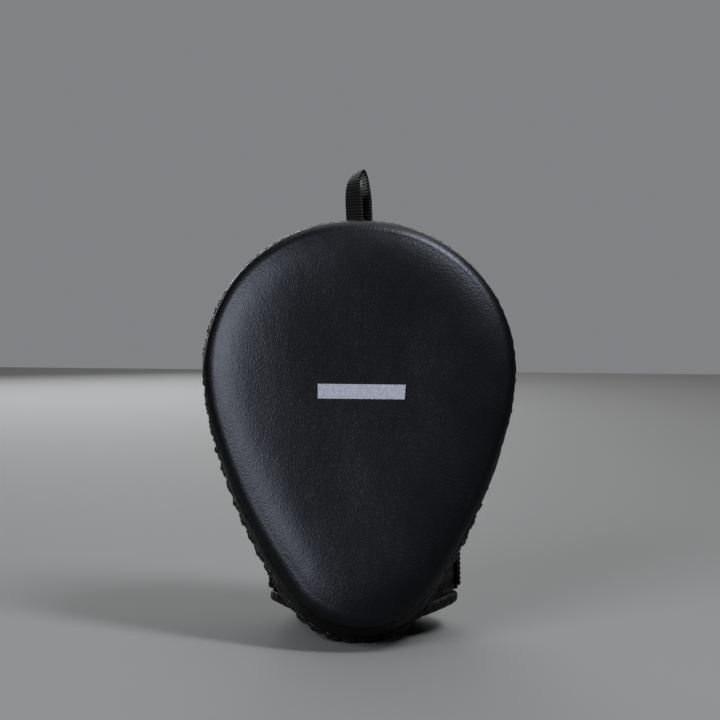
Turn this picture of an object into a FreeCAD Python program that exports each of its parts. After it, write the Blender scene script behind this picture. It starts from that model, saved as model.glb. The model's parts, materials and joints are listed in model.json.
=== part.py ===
import FreeCAD, Part
import math
import os

import Sketcher

# Focus mitt for boxing practice: a curved, egg-shaped striking pad with a glove on its back.
# Every piece is drawn in the pad's own axes (X across, Y back, Z up along the pad, the back panel's
# middle at Y = 0 and the tip at Z = 0) and is then leaned back onto the floor by one placement.

DIMENSIONS = [
    # alias, value in mm or degrees, what it is
    ("pad_height", 264, "back outline, tip to crown"),
    ("crown_radius", 112, "outline arc at the top"),
    ("shoulder_radius", 91.4, "outline arcs beside the crown"),
    ("shoulder_offset", 4, "shoulder arc centres from the middle"),
    ("flank_radius", 355, "long side arcs"),
    ("tip_radius", 49, "outline arc at the narrow end"),
    ("end_slope", 0.172, "how far the end walls lean out per mm of depth"),
    ("face_curve", 743, "radius of the dished striking face"),
    ("pad_depth", 42, "face to back panel"),
    ("skin", 1.4, "leather of the pad"),
    ("fit_gap", 0.1, "air between skins and foams"),
    ("rim_radius", 10, "rounding of the face's rim"),
    ("seam_depth", 7, "face seam behind the face"),
    ("impact_depth", 14, "back of the hard front foam"),
    ("core_depth", 32, "back of the soft middle foam"),
    ("binding_wide", 8, "tape round the back edge"),
    ("binding_proud", 1.6, "how far that tape stands out"),
    ("mark_wide", 53, "printed target bar"),
    ("mark_tall", 9, "printed target bar"),
    ("mark_height", 149.5, "middle of the bar above the tip"),
    ("mark_film", 0.25, "film of the bar"),
    ("lean", 17, "how far the standing mitt leans back, degrees"),
    ("floor_bite", 1.1, "foam and tape flattened where they stand"),
    ("glove_skin", 1.3, "leather of the glove"),
    ("glove_lining", 0.8, "lining of the glove"),
    ("tape_proud", 1.2, "how far the glove's bindings stand out"),
    ("tape_wide", 7, "width of the glove's bindings"),
    ("hood_half_wide", 55, "finger hood, half width"),
    ("hood_rise", 47, "finger hood, height over its centre"),
    ("hood_length", 106, "finger hood, length"),
    ("hood_foot", 112, "open end of the hood above the tip"),
    ("hood_centre", 2, "hood's centre behind the back panel"),
    ("hood_wall", 10.3, "hood's cover and foam"),
    ("cuff_half_wide", 57.5, "wrist cuff, half width"),
    ("cuff_half_deep", 40, "wrist cuff, half depth"),
    ("cuff_centre", 24, "cuff's centre behind the back panel"),
    ("cuff_aside", 4, "cuff's centre from the middle, away from the thumb"),
    ("cuff_top", 78, "top of the cuff above the tip"),
    ("cuff_wall", 9.3, "cuff's cover and foam"),
    ("rim_arch", 77, "radius of the arch cut into the cuff's rim"),
    ("arch_back", 34.6, "arch centre behind the back panel"),
    ("arch_drop", 46.9, "arch centre below the tip"),
    ("mesh_inset", 4, "mesh inside the padded edges"),
    ("mesh_thick", 1.6, "spacer mesh"),
    ("strap_low", 37.6, "strap's lower edge above the tip"),
    ("strap_wide", 33, "strap"),
    ("strap_thick", 2, "strap's outer webbing"),
    ("strap_lift", 1.7, "strap's outer webbing off the cuff"),
    ("hook_thick", 0.6, "hook pad"),
    ("loop_thick", 0.8, "loop pad"),
    ("ball_half_wide", 27, "palm ball"),
    ("ball_rise", 17, "palm ball"),
    ("ball_half_tall", 21, "palm ball"),
    ("ball_height", 96, "palm ball above the tip"),
    ("palm_half_wide", 30, "palm lining"),
    ("palm_half_tall", 44, "palm lining"),
    ("palm_height", 112, "palm lining above the tip"),
    ("thumb_base_radius", 16.5, "thumb stall at the hand"),
    ("thumb_tip_radius", 11.5, "thumb stall at its end"),
    ("thumb_reach", 32, "between the stall's two round ends"),
    ("thumb_splay", 30, "stall's angle off the pad's length, degrees"),
    ("thumb_out", 56, "stall's root from the middle"),
    ("thumb_back", 17.5, "stall's axis behind the back panel"),
    ("thumb_height", 94, "stall's root above the tip"),
    ("thumb_skin", 1.2, "leather of the stall"),
    ("web_wide", 12.5, "hanging loop webbing"),
    ("web_thick", 1.5, "hanging loop webbing"),
    ("web_rise", 27.5, "centre of the loop's bend above its foot"),
    ("web_bend", 6.9, "outer radius of the loop's bend"),
    ("web_yaw", 20, "twist of the loop, degrees"),
    ("web_aside", 0, "loop and tail from the middle"),
    ("web_tail", 26, "loop's tail on the back panel"),
]

# Angles round the cuff, seen from above: 0 at the back, positive towards +X.
SLIT = (10, 18)             # open slit between the two cuff flaps
ANCHOR = (-96, -68)         # strap's sewn end
BAND = (-67.6, 19.6)        # strap from its hinge to its folding line
TIP = (20, 84)              # strap's free end
TAB = (84, 95)              # pull tab
HOOK = (25, 82)             # hook pad under the free end
LOOP = (21, 87)             # loop pad on the right flap
HALF_SPAN = 150             # half length of the tools that cut across the mitt
REACH = 400                 # size of the blocks that cut away a half space

doc = FreeCAD.newDocument("focus_mitt")
sheet = doc.addObject("Spreadsheet::Sheet", "dims")
for row, (alias, value, note) in enumerate(DIMENSIONS, start=1):
    sheet.set(f"A{row}", note)
    sheet.set(f"B{row}", str(value))
    sheet.setAlias(f"B{row}", alias)
doc.recompute()

SIZE = {alias: value for alias, value, note in DIMENSIONS}
X_AXIS = FreeCAD.Vector(1, 0, 0)
Y_AXIS = FreeCAD.Vector(0, 1, 0)
Z_AXIS = FreeCAD.Vector(0, 0, 1)
NODES = []


def add(kind, name, **bound):
    """A document object whose properties are bound to the sheet's cells."""
    obj = doc.addObject(kind, name)
    for prop, expression in bound.items():
        obj.setExpression(prop, expression)
    return obj


def place(obj, x=0.0, y=0.0, z=0.0, axis=Z_AXIS, angle=0.0):
    obj.Placement = FreeCAD.Placement(FreeCAD.Vector(x, y, z), FreeCAD.Rotation(axis, angle))
    return obj


def cut(name, base, *tools):
    """base less each tool in turn."""
    for number, tool in enumerate(tools):
        step = doc.addObject("Part::Cut", name if number == len(tools) - 1 else f"{name}_less")
        step.Base, step.Tool = base, tool
        base = step
    return base


def common(name, first, second):
    obj = doc.addObject("Part::Common", name)
    obj.Base, obj.Tool = first, second
    return obj


def fuse(name, shapes):
    obj = doc.addObject("Part::MultiFuse", name)
    obj.Shapes = shapes
    return obj


def node(label, obj):
    """Marks obj as a finished piece: its label names its file."""
    obj.Label = label
    NODES.append(obj)
    return obj


def back_at(height, proud=0.0):
    """Y of the back panel's outer surface at a height above the tip."""
    radius = SIZE["face_curve"] + SIZE["pad_depth"]
    rise = height - SIZE["pad_height"] / 2
    return math.sqrt((radius + proud) ** 2 - rise * rise) - radius


# ---------------------------------------------------------------- pad outline

def outline_arcs(tip_z, crown_z, inset):
    """The six tangent arcs of the egg outline, anticlockwise from the right flank: (centre, radius, start, end)."""
    crown_r = SIZE["crown_radius"] - inset
    shoulder_r = SIZE["shoulder_radius"] - inset
    flank_r = SIZE["flank_radius"] - inset
    tip_r = SIZE["tip_radius"] - inset
    crown = FreeCAD.Vector(0, crown_z - SIZE["crown_radius"], 0)
    side = SIZE["shoulder_offset"]
    drop = crown_r - shoulder_r
    shoulder = crown + FreeCAD.Vector(side, math.sqrt(drop * drop - side * side), 0)
    tip = FreeCAD.Vector(0, tip_z + SIZE["tip_radius"], 0)
    # the flank's centre lies at known distances from the shoulder's and the tip's
    span = (tip - shoulder).Length
    near, far = flank_r - shoulder_r, flank_r - tip_r
    along = (near * near - far * far + span * span) / (2 * span)
    across = math.sqrt(near * near - along * along)
    unit = (tip - shoulder) * (1 / span)
    flank = shoulder + unit * along + FreeCAD.Vector(unit.y, -unit.x, 0) * across

    def bearing(start, end):
        return math.degrees(math.atan2(end.y - start.y, end.x - start.x))

    low, high = bearing(flank, tip), bearing(flank, shoulder)
    top = bearing(crown, shoulder)
    mirror = lambda point: FreeCAD.Vector(-point.x, point.y, 0)
    return [
        (flank, flank_r, low, high),
        (shoulder, shoulder_r, high, top),
        (crown, crown_r, top, 180 - top),
        (mirror(shoulder), shoulder_r, 180 - top, 180 - high),
        (mirror(flank), flank_r, 180 - high, 180 - low),
        (tip, tip_r, 180 - low, 360 + low),
    ]


def egg_sketch(name, depth, inset):
    """A fully constrained sketch of the outline at a depth in front of the back panel, inset by so much."""
    shift = SIZE["end_slope"] * depth
    sketch = doc.addObject("Sketcher::SketchObject", name)
    place(sketch, y=-depth, axis=X_AXIS, angle=90)
    arcs = outline_arcs(shift, SIZE["pad_height"] - shift, inset)
    for centre, radius, start, end in arcs:
        circle = Part.Circle(centre, Z_AXIS, radius)
        sketch.addGeometry(Part.ArcOfCircle(circle, math.radians(start), math.radians(end)), False)
    for first in range(len(arcs)):
        sketch.addConstraint(Sketcher.Constraint("Tangent", first, 2, (first + 1) % len(arcs), 1))
    flank, shoulder, crown, left_shoulder, left_flank, tip = range(6)

    def hold(title, expression, *args):
        index = sketch.addConstraint(Sketcher.Constraint(*args))
        sketch.renameConstraint(index, title)
        sketch.setExpression(f"Constraints.{title}", expression)

    radii = {crown: "crown_radius", shoulder: "shoulder_radius", left_shoulder: "shoulder_radius",
             flank: "flank_radius", left_flank: "flank_radius", tip: "tip_radius"}
    for arc, alias in radii.items():
        hold(f"radius_{arc}", f"dims.{alias} - {inset}", "Radius", arc, arcs[arc][1])
    for arc in (crown, tip):
        sketch.addConstraint(Sketcher.Constraint("PointOnObject", arc, 3, -2))
    hold("crown_centre", f"dims.pad_height - dims.end_slope * {depth} - dims.crown_radius",
         "DistanceY", -1, 1, crown, 3, arcs[crown][0].y)
    hold("tip_centre", f"dims.end_slope * {depth} + dims.tip_radius",
         "DistanceY", -1, 1, tip, 3, arcs[tip][0].y)
    hold("right_side", "dims.shoulder_offset", "DistanceX", -1, 1, shoulder, 3, SIZE["shoulder_offset"])
    hold("left_side", "dims.shoulder_offset", "DistanceX", left_shoulder, 3, -1, 1, SIZE["shoulder_offset"])
    return sketch


def egg_block(name, inset):
    """The egg outline drawn through the pad's whole depth, longer at the back than at the face."""
    loft = doc.addObject("Part::Loft", name)
    loft.Sections = [egg_sketch(f"{name}_front", 80, inset), egg_sketch(f"{name}_back", -25, inset)]
    loft.Solid = True
    loft.Ruled = True
    return loft


def bend(name, depth):
    """A big cylinder across the mitt: its surface is the dished layer at that depth behind the face."""
    drum = add("Part::Cylinder", name, Radius=f"dims.face_curve + {depth}")
    drum.Height = 2 * HALF_SPAN
    return place(drum, -HALF_SPAN, -SIZE["face_curve"] - SIZE["pad_depth"], SIZE["pad_height"] / 2,
                 Y_AXIS, 90)


def layer(name, block, front, back):
    """The slice of block between two bends."""
    return cut(name, common(f"{name}_behind", block, back), front)


def soften(name, block, radius, depth):
    """Rounds the edges of block that lie on the bend at that depth."""
    doc.recompute()
    drum = SIZE["face_curve"] + depth
    centre = FreeCAD.Vector(0, -SIZE["face_curve"] - SIZE["pad_depth"], SIZE["pad_height"] / 2)

    def on_face(edge):
        for vertex in edge.Vertexes:
            arm = vertex.Point - centre
            if abs(math.hypot(arm.y, arm.z) - drum) > 0.01:
                return False
        return True

    rounded = doc.addObject("Part::Fillet", name)
    rounded.Base = block
    rounded.Edges = [(n, radius, radius) for n, edge in enumerate(block.Shape.Edges, start=1) if on_face(edge)]
    return rounded


# ---------------------------------------------------------------- striking pad

stand = FreeCAD.Placement(FreeCAD.Vector(0, 0, 0), FreeCAD.Rotation(X_AXIS, -SIZE["lean"]))
tip_back = back_at(0)
tip_corner = stand.multVec(FreeCAD.Vector(0, tip_back, -SIZE["end_slope"] * tip_back - SIZE["binding_proud"]))
stand.Base = FreeCAD.Vector(0, 0, -tip_corner.z - SIZE["floor_bite"])

floor_block = doc.addObject("Part::Box", "floor_block")
floor_block.Length = floor_block.Width = REACH
floor_block.Height = REACH / 4
floor_block.Placement = stand.inverse().multiply(
    FreeCAD.Placement(FreeCAD.Vector(-REACH / 2, -REACH / 2, -REACH / 4), FreeCAD.Rotation()))

face_bend = bend("face_bend", "0")
skin_bend = bend("skin_bend", "dims.skin + dims.fit_gap")
seam_bend = bend("seam_bend", "dims.seam_depth")
impact_bend = bend("impact_bend", "dims.impact_depth")
core_front_bend = bend("core_front_bend", "dims.impact_depth + dims.fit_gap")
core_bend = bend("core_bend", "dims.core_depth")
backing_front_bend = bend("backing_front_bend", "dims.core_depth + dims.fit_gap")
backing_bend = bend("backing_bend", "dims.pad_depth - dims.skin - dims.fit_gap")
panel_bend = bend("panel_bend", "dims.pad_depth - dims.skin")
back_bend = bend("back_bend", "dims.pad_depth")
tape_bend = bend("tape_bend", "dims.pad_depth - dims.binding_wide")

outer_block = egg_block("outer_block", 0)
inner_block = egg_block("inner_block", SIZE["skin"] + SIZE["fit_gap"])
tape_block = egg_block("tape_block", -SIZE["binding_proud"])

pad_hull = soften("pad_hull", layer("pad_slab", outer_block, face_bend, back_bend), SIZE["rim_radius"], 0)
foam_depth = SIZE["skin"] + SIZE["fit_gap"]
foam_hull = soften("foam_hull", layer("foam_slab", inner_block, skin_bend, back_bend),
                   SIZE["rim_radius"] - foam_depth, foam_depth)
pad_leather = cut("pad_leather", pad_hull, foam_hull)

node("strike_face_cover", common("face_leather", pad_leather, seam_bend))
node("side_gusset", cut("gusset_leather", pad_leather, seam_bend, floor_block))
node("impact_foam", common("impact_layer", foam_hull, impact_bend))
node("core_foam", cut("core_layer", common("core_behind", foam_hull, core_bend), core_front_bend))
node("backing_foam", cut("backing_layer", common("backing_behind", foam_hull, backing_bend), backing_front_bend))
panel_block = egg_block("panel_block", SIZE["skin"] + 2 * SIZE["fit_gap"])
node("back_panel", layer("panel_leather", panel_block, panel_bend, back_bend))
node("rear_edge_binding",
     cut("edge_tape", layer("tape_slab", tape_block, tape_bend, back_bend), outer_block, floor_block))

mark_bend = bend("mark_bend", "-dims.mark_film")
mark_bar = add("Part::Box", "mark_bar", Length="dims.mark_wide", Height="dims.mark_tall")
mark_bar.Width = SIZE["pad_depth"]
place(mark_bar, -SIZE["mark_wide"] / 2, -1.4 * SIZE["pad_depth"], SIZE["mark_height"] - SIZE["mark_tall"] / 2)
node("strike_mark", layer("mark_film", mark_bar, mark_bend, face_bend))

# ---------------------------------------------------------------- hanging loop

crown_back = back_at(SIZE["pad_height"])
crown_lean = math.degrees(math.asin(SIZE["pad_height"] / 2 / (SIZE["face_curve"] + SIZE["pad_depth"])))
crown_height = SIZE["pad_height"] + SIZE["end_slope"] * crown_back
loop_foot = crown_height + SIZE["binding_proud"] + 0.4


def teardrop(sketch, foot, bend_radius):
    """A circle's arc over two straight leaves that meet at the foot."""
    rise = SIZE["web_rise"]
    reach = rise - foot
    tilt = math.asin(bend_radius / reach)
    join = FreeCAD.Vector(bend_radius * math.cos(tilt), rise - bend_radius * math.sin(tilt), 0)
    circle = Part.Circle(FreeCAD.Vector(0, rise, 0), Z_AXIS, bend_radius)
    apex = FreeCAD.Vector(0, foot, 0)
    left = FreeCAD.Vector(-join.x, join.y, 0)
    first = sketch.addGeometry(Part.ArcOfCircle(circle, -tilt, math.pi + tilt), False)
    sketch.addGeometry(Part.LineSegment(left, apex), False)
    sketch.addGeometry(Part.LineSegment(apex, join), False)
    for a, b in ((first, first + 1), (first + 2, first)):
        sketch.addConstraint(Sketcher.Constraint("Tangent", a, 2, b, 1))
    sketch.addConstraint(Sketcher.Constraint("Coincident", first + 1, 2, first + 2, 1))
    sketch.addConstraint(Sketcher.Constraint("PointOnObject", first, 3, -2))
    sketch.addConstraint(Sketcher.Constraint("PointOnObject", first + 1, 2, -2))
    return first


def hold_teardrop(sketch, first, foot, radius):
    """Binds the arc's radius and its height over the foot to the sheet."""
    for title, expression, args in (
        (f"radius_{first}", radius, ("Radius", first, 6.0)),
        (f"rise_{first}", "dims.web_rise", ("DistanceY", -1, 1, first, 3, SIZE["web_rise"])),
        (f"foot_{first}", foot, ("DistanceY", -1, 1, first + 1, 2, 1.0)),
    ):
        index = sketch.addConstraint(Sketcher.Constraint(*args))
        sketch.renameConstraint(index, title)
        sketch.setExpression(f"Constraints.{title}", expression)


def origin_plane(body, role):
    return next(f for f in body.Origin.OriginFeatures if f.Role == role)


web_body = doc.addObject("PartDesign::Body", "web_body")
web_sketch = web_body.newObject("Sketcher::SketchObject", "web_sketch")
web_sketch.AttachmentSupport = [(origin_plane(web_body, "YZ_Plane"), "")]
web_sketch.MapMode = "FlatFace"
hold_teardrop(web_sketch, teardrop(web_sketch, 0.5, SIZE["web_bend"]), "0.5", "dims.web_bend")
inner_foot = 0.5 + 1.6 * SIZE["web_thick"]
hold_teardrop(web_sketch, teardrop(web_sketch, inner_foot, SIZE["web_bend"] - SIZE["web_thick"]),
              "0.5 + 1.6 * dims.web_thick", "dims.web_bend - dims.web_thick")
web_pad = web_body.newObject("PartDesign::Pad", "web_pad")
web_pad.Profile = web_sketch
web_pad.Midplane = True
web_pad.setExpression("Length", "dims.web_wide")
web_in_pad = FreeCAD.Placement(
    FreeCAD.Vector(SIZE["web_aside"], crown_back + SIZE["web_thick"], loop_foot),
    FreeCAD.Rotation(X_AXIS, crown_lean).multiply(FreeCAD.Rotation(Z_AXIS, SIZE["web_yaw"])))
node("hanging_loop", web_body)

tail_bend = bend("tail_bend", "dims.pad_depth + 2 * dims.web_thick")
tail_bar = add("Part::Box", "tail_bar", Length="dims.web_wide", Height="dims.web_tail")
tail_bar.Width = SIZE["pad_depth"]
place(tail_bar, SIZE["web_aside"] - SIZE["web_wide"] / 2, -SIZE["pad_depth"] / 2,
      crown_height - SIZE["web_tail"])
node("loop_tail", layer("tail_webbing", tail_bar, back_bend, tail_bend))

# ---------------------------------------------------------------- palm

palm_bend = bend("palm_bend", "dims.pad_depth + dims.glove_lining")
palm_rim = add("Part::Ellipse", "palm_rim", MajorRadius="dims.palm_half_tall", MinorRadius="dims.palm_half_wide")
palm_rim.Placement = FreeCAD.Placement(
    FreeCAD.Vector(0, -SIZE["pad_depth"] / 2, SIZE["palm_height"]),
    FreeCAD.Rotation(Z_AXIS, X_AXIS, Y_AXIS, "XZY"))
palm_plug = doc.addObject("Part::Extrusion", "palm_plug")
palm_plug.Base = palm_rim
palm_plug.DirMode = "Custom"
palm_plug.Dir = Y_AXIS
palm_plug.LengthFwd = SIZE["pad_depth"]
palm_plug.Solid = True
node("palm_lining", layer("palm_suede", palm_plug, back_bend, palm_bend))

ball = add("Part::Ellipsoid", "ball", Radius1="dims.ball_half_tall", Radius2="dims.ball_half_wide",
           Radius3="dims.ball_rise")
ball.Angle1 = -90
place(ball, 0, 0, SIZE["ball_height"])
node("palm_grip_ball", cut("ball_dome", ball, palm_bend))

# ---------------------------------------------------------------- thumb stall


def thumb_form(name, inset):
    """Two balls and the cone that touches them both, drawn along Z."""
    big = SIZE["thumb_base_radius"] - inset
    small = SIZE["thumb_tip_radius"] - inset
    reach = SIZE["thumb_reach"]
    slope = (big - small) / reach
    cosine = math.sqrt(1 - slope * slope)
    root = add("Part::Sphere", f"{name}_root", Radius=f"dims.thumb_base_radius - {inset}")
    end = add("Part::Sphere", f"{name}_end", Radius=f"dims.thumb_tip_radius - {inset}")
    place(end, z=reach)
    cone = doc.addObject("Part::Cone", f"{name}_cone")
    cone.Radius1, cone.Radius2 = big * cosine, small * cosine
    cone.Height = reach - (big - small) * slope
    place(cone, z=big * slope)
    form = fuse(name, [root, cone, end])
    form.Placement = FreeCAD.Placement(
        FreeCAD.Vector(-SIZE["thumb_out"], SIZE["thumb_back"], SIZE["thumb_height"]),
        FreeCAD.Rotation(Y_AXIS, -SIZE["thumb_splay"]))
    return form


thumb_outside = thumb_form("thumb_outside", 0)
thumb_between = thumb_form("thumb_between", SIZE["thumb_skin"])
thumb_inside = thumb_form("thumb_inside", SIZE["thumb_skin"] + SIZE["glove_lining"])

# ---------------------------------------------------------------- finger hood


def hood_form(name, offset):
    """The upper half of the hood's egg-shaped dome, offset inwards."""
    dome = add("Part::Ellipsoid", name, Radius1=f"dims.hood_length - {offset}",
               Radius2=f"dims.hood_half_wide - {offset}", Radius3=f"dims.hood_rise - {offset}")
    dome.Angle1 = 0
    return place(dome, 0, SIZE["hood_centre"], SIZE["hood_foot"])


def slab(name, low, high):
    """A block across the whole mitt between two heights above the tip."""
    block = doc.addObject("Part::Box", name)
    block.Length = block.Width = REACH
    block.Height = high - low
    return place(block, -REACH / 2, -REACH / 2, low)


hood_lining_offset = SIZE["hood_wall"] + SIZE["glove_lining"]
hood_out = hood_form("hood_out", 0)
hood_skin = hood_form("hood_skin", SIZE["glove_skin"])
hood_foam = hood_form("hood_foam", SIZE["hood_wall"])
hood_in = hood_form("hood_in", hood_lining_offset)
hood_tape_out = hood_form("hood_tape_out", -SIZE["tape_proud"])
hood_tape_in = hood_form("hood_tape_in", hood_lining_offset + 0.5)
hood_tape_top = SIZE["hood_foot"] + SIZE["tape_wide"]
hood_body = slab("hood_body", hood_tape_top, SIZE["pad_height"] + 20)
hood_edge = slab("hood_edge", SIZE["hood_foot"], hood_tape_top)


def hood_piece(label, outer, inner, zone, base):
    shell = cut(f"{label}_shell", outer, inner, base)
    return node(label, common(f"{label}_piece", shell, zone))


hood_piece("hood_cover", hood_out, hood_skin, hood_body, back_bend)
hood_piece("hood_padding", hood_skin, hood_foam, hood_body, back_bend)
hood_piece("hood_lining", hood_foam, hood_in, hood_body, back_bend)
hood_piece("hood_edge_binding", hood_tape_out, hood_tape_in, hood_edge, back_bend)

# ---------------------------------------------------------------- wrist cuff


def ring_at(name, offset, height):
    rim = add("Part::Ellipse", name, MajorRadius=f"dims.cuff_half_wide - {offset}",
              MinorRadius=f"dims.cuff_half_deep - {offset}")
    return place(rim, SIZE["cuff_aside"], SIZE["cuff_centre"], height)


def column(name, offset, low=-10.0, high=None):
    """A solid elliptic column with the cuff's plan, offset inwards, between two heights."""
    high = SIZE["cuff_top"] if high is None else high
    post = doc.addObject("Part::Extrusion", name)
    post.Base = ring_at(f"{name}_plan", offset, low)
    post.DirMode = "Custom"
    post.Dir = Z_AXIS
    post.LengthFwd = high - low
    post.Solid = True
    return post


def sector(name, start, end):
    """A wedge of space round the cuff's axis, between two angles from the back, positive towards +X."""
    pie = doc.addObject("Part::Cylinder", name)
    pie.Radius, pie.Height, pie.Angle = HALF_SPAN, REACH, end - start
    return place(pie, SIZE["cuff_aside"], SIZE["cuff_centre"], -REACH / 2, Z_AXIS, 90 - end)


def arch(name, extra):
    """The round-topped cut that shapes the cuff's lower rim."""
    drum = add("Part::Cylinder", name, Radius=f"dims.rim_arch + {extra}")
    drum.Height = 2 * HALF_SPAN
    return place(drum, -HALF_SPAN, SIZE["arch_back"], -SIZE["arch_drop"], Y_AXIS, 90)


cuff_lining_offset = SIZE["cuff_wall"] + SIZE["glove_lining"]
tape_foot = SIZE["cuff_top"] - SIZE["tape_wide"]
cuff_out = column("cuff_out", 0, high=tape_foot)
cuff_skin = column("cuff_skin", SIZE["glove_skin"], high=tape_foot)
cuff_foam = column("cuff_foam", SIZE["cuff_wall"], high=tape_foot)
cuff_in = column("cuff_in", cuff_lining_offset, high=tape_foot)
cuff_tape_out = column("cuff_tape_out", -SIZE["tape_proud"], high=tape_foot)
cuff_tape_in = column("cuff_tape_in", cuff_lining_offset + 0.5)
cuff_top_out = column("cuff_top_out", -SIZE["tape_proud"], low=tape_foot)
rim_cut = arch("rim_cut", "0")
rim_tape = arch("rim_tape", "dims.tape_wide")
flaps = {"left": sector("left_flap", -180, SLIT[0]), "right": sector("right_flap", SLIT[1], 180)}

for side, wedge in flaps.items():
    for title, outer, inner in (("cover", cuff_out, cuff_skin), ("padding", cuff_skin, cuff_foam),
                                ("lining", cuff_foam, cuff_in)):
        label = f"cuff_{title}_{side}"
        shell = cut(f"{label}_shell", common(f"{label}_flap", outer, wedge), inner, back_bend, rim_tape)
        node(label, shell)
    rim = common(f"rim_{side}_flap", cuff_tape_out, wedge)
    rim = common(f"rim_{side}_band", cut(f"rim_{side}_shell", rim, cuff_tape_in, back_bend, rim_cut), rim_tape)
    node(f"cuff_rim_binding_{side}", cut(f"rim_{side}_foot", rim, floor_block))
    top = common(f"top_{side}_flap", cuff_top_out, wedge)
    node(f"cuff_top_binding_{side}",
         cut(f"top_{side}_shell", top, cuff_tape_in, back_bend, thumb_outside))

# ---------------------------------------------------------------- mesh over the back of the hand


def mesh_form(name, inset):
    """A sleeve's solid core between the cuff's top and the hood's foot."""
    low = ring_at(f"{name}_low", inset, SIZE["cuff_top"])
    high = add("Part::Ellipse", f"{name}_high", MajorRadius=f"dims.hood_half_wide - {inset}",
               MinorRadius=f"dims.hood_rise - {inset}")
    place(high, 0, SIZE["hood_centre"], SIZE["hood_foot"])
    loft = doc.addObject("Part::Loft", name)
    loft.Sections = [low, high]
    loft.Solid = True
    loft.Ruled = True
    return loft


mesh_out = mesh_form("mesh_out", SIZE["mesh_inset"])
mesh_in = mesh_form("mesh_in", SIZE["mesh_inset"] + SIZE["mesh_thick"])
node("hand_mesh_panel", cut("mesh_sleeve", mesh_out, mesh_in, back_bend, thumb_outside))

thumb_root_cut = (mesh_out, back_bend, slab("below_thumb", -REACH / 4, SIZE["cuff_top"]))
thumb_root_cut += (hood_tape_out,)
node("thumb_stall", cut("stall_leather", thumb_outside, thumb_between, *thumb_root_cut))
node("thumb_lining", cut("stall_lining", thumb_between, thumb_inside, *thumb_root_cut))

# ---------------------------------------------------------------- wrist strap


def strap_piece(label, inside, outside, span, trim=0.0):
    """A curved strip that lies round the cuff between two offsets, over a span of angles."""
    low = SIZE["strap_low"] + trim
    high = SIZE["strap_low"] + SIZE["strap_wide"] - trim
    outer = column(f"{label}_outer", -outside, low, high)
    inner = column(f"{label}_inner", -inside, low, high)
    ring = cut(f"{label}_ring", outer, inner)
    return node(label, common(f"{label}_strip", ring, sector(f"{label}_span", *span)))


lift = SIZE["strap_lift"]
strap_out = lift + SIZE["strap_thick"]
strap_piece("strap_anchor", 0.0, strap_out, ANCHOR)
strap_piece("strap_band", lift, strap_out, BAND)
strap_piece("strap_lining", 0.4, lift, (BAND[0] + 2, SLIT[1]))
strap_piece("strap_free_end", lift, strap_out, TIP)
strap_piece("strap_hook_pad", lift - SIZE["hook_thick"], lift, HOOK, trim=3.0)
strap_piece("strap_pull_tab", lift - SIZE["hook_thick"], strap_out + 0.4, TAB, trim=2.5)
strap_piece("cuff_loop_pad", 0.0, SIZE["loop_thick"], LOOP, trim=2.0)

# ---------------------------------------------------------------- stand it up and write it out

doc.recompute()


def leaned_bounds():
    """The whole mitt's box with each piece leaned back."""
    box = FreeCAD.BoundBox()
    for piece in NODES:
        shape = piece.Shape.copy()
        shape.Placement = stand.multiply(piece.Shape.Placement)
        box.add(shape.optimalBoundingBox(False))
    return box


web_body.Placement = web_in_pad
doc.recompute()
middle = leaned_bounds().Center
stand.Base = FreeCAD.Vector(-middle.x, -middle.y, stand.Base.z)
for piece in NODES:
    piece.Placement = stand.multiply(piece.Placement)
doc.recompute()

for obj in doc.Objects:
    if {"Invalid", "Error"} & set(obj.State):
        raise RuntimeError(f"{obj.Name} ({obj.Label}) failed: {obj.State}")
os.makedirs("parts", exist_ok=True)
for piece in NODES:
    shape = piece.Shape
    if shape.isNull() or not shape.isValid() or not shape.Solids:
        raise RuntimeError(f"{piece.Label} has no valid solid")
    shape.exportStep(f"parts/{piece.Label}.step")
    box = shape.BoundBox
    print(f"{piece.Label:26s} solids {len(shape.Solids)}  volume {shape.Volume:10.1f}  "
          f"X {box.XMin:7.1f} {box.XMax:7.1f}  Y {box.YMin:7.1f} {box.YMax:7.1f}  "
          f"Z {box.ZMin:7.1f} {box.ZMax:7.1f}")
print("stand", stand.Base, "lean", SIZE["lean"])
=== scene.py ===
"""The focus mitt's look: a dished leather pad on its narrow end, with a padded glove and a strap behind it.

Shapes are worked out in the pad's own axes, in millimetres: X across, Y back, Z up along the pad,
with the middle of the back panel at Y = 0 and the tip at Z = 0. stand() leans them back into the
frame's metres.
"""
import json
from math import asin, atan2, copysign, cos, exp, pi, radians, sin, sqrt, tan

import bmesh
import bpy
import numpy as np
from mathutils import Matrix, Vector


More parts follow.
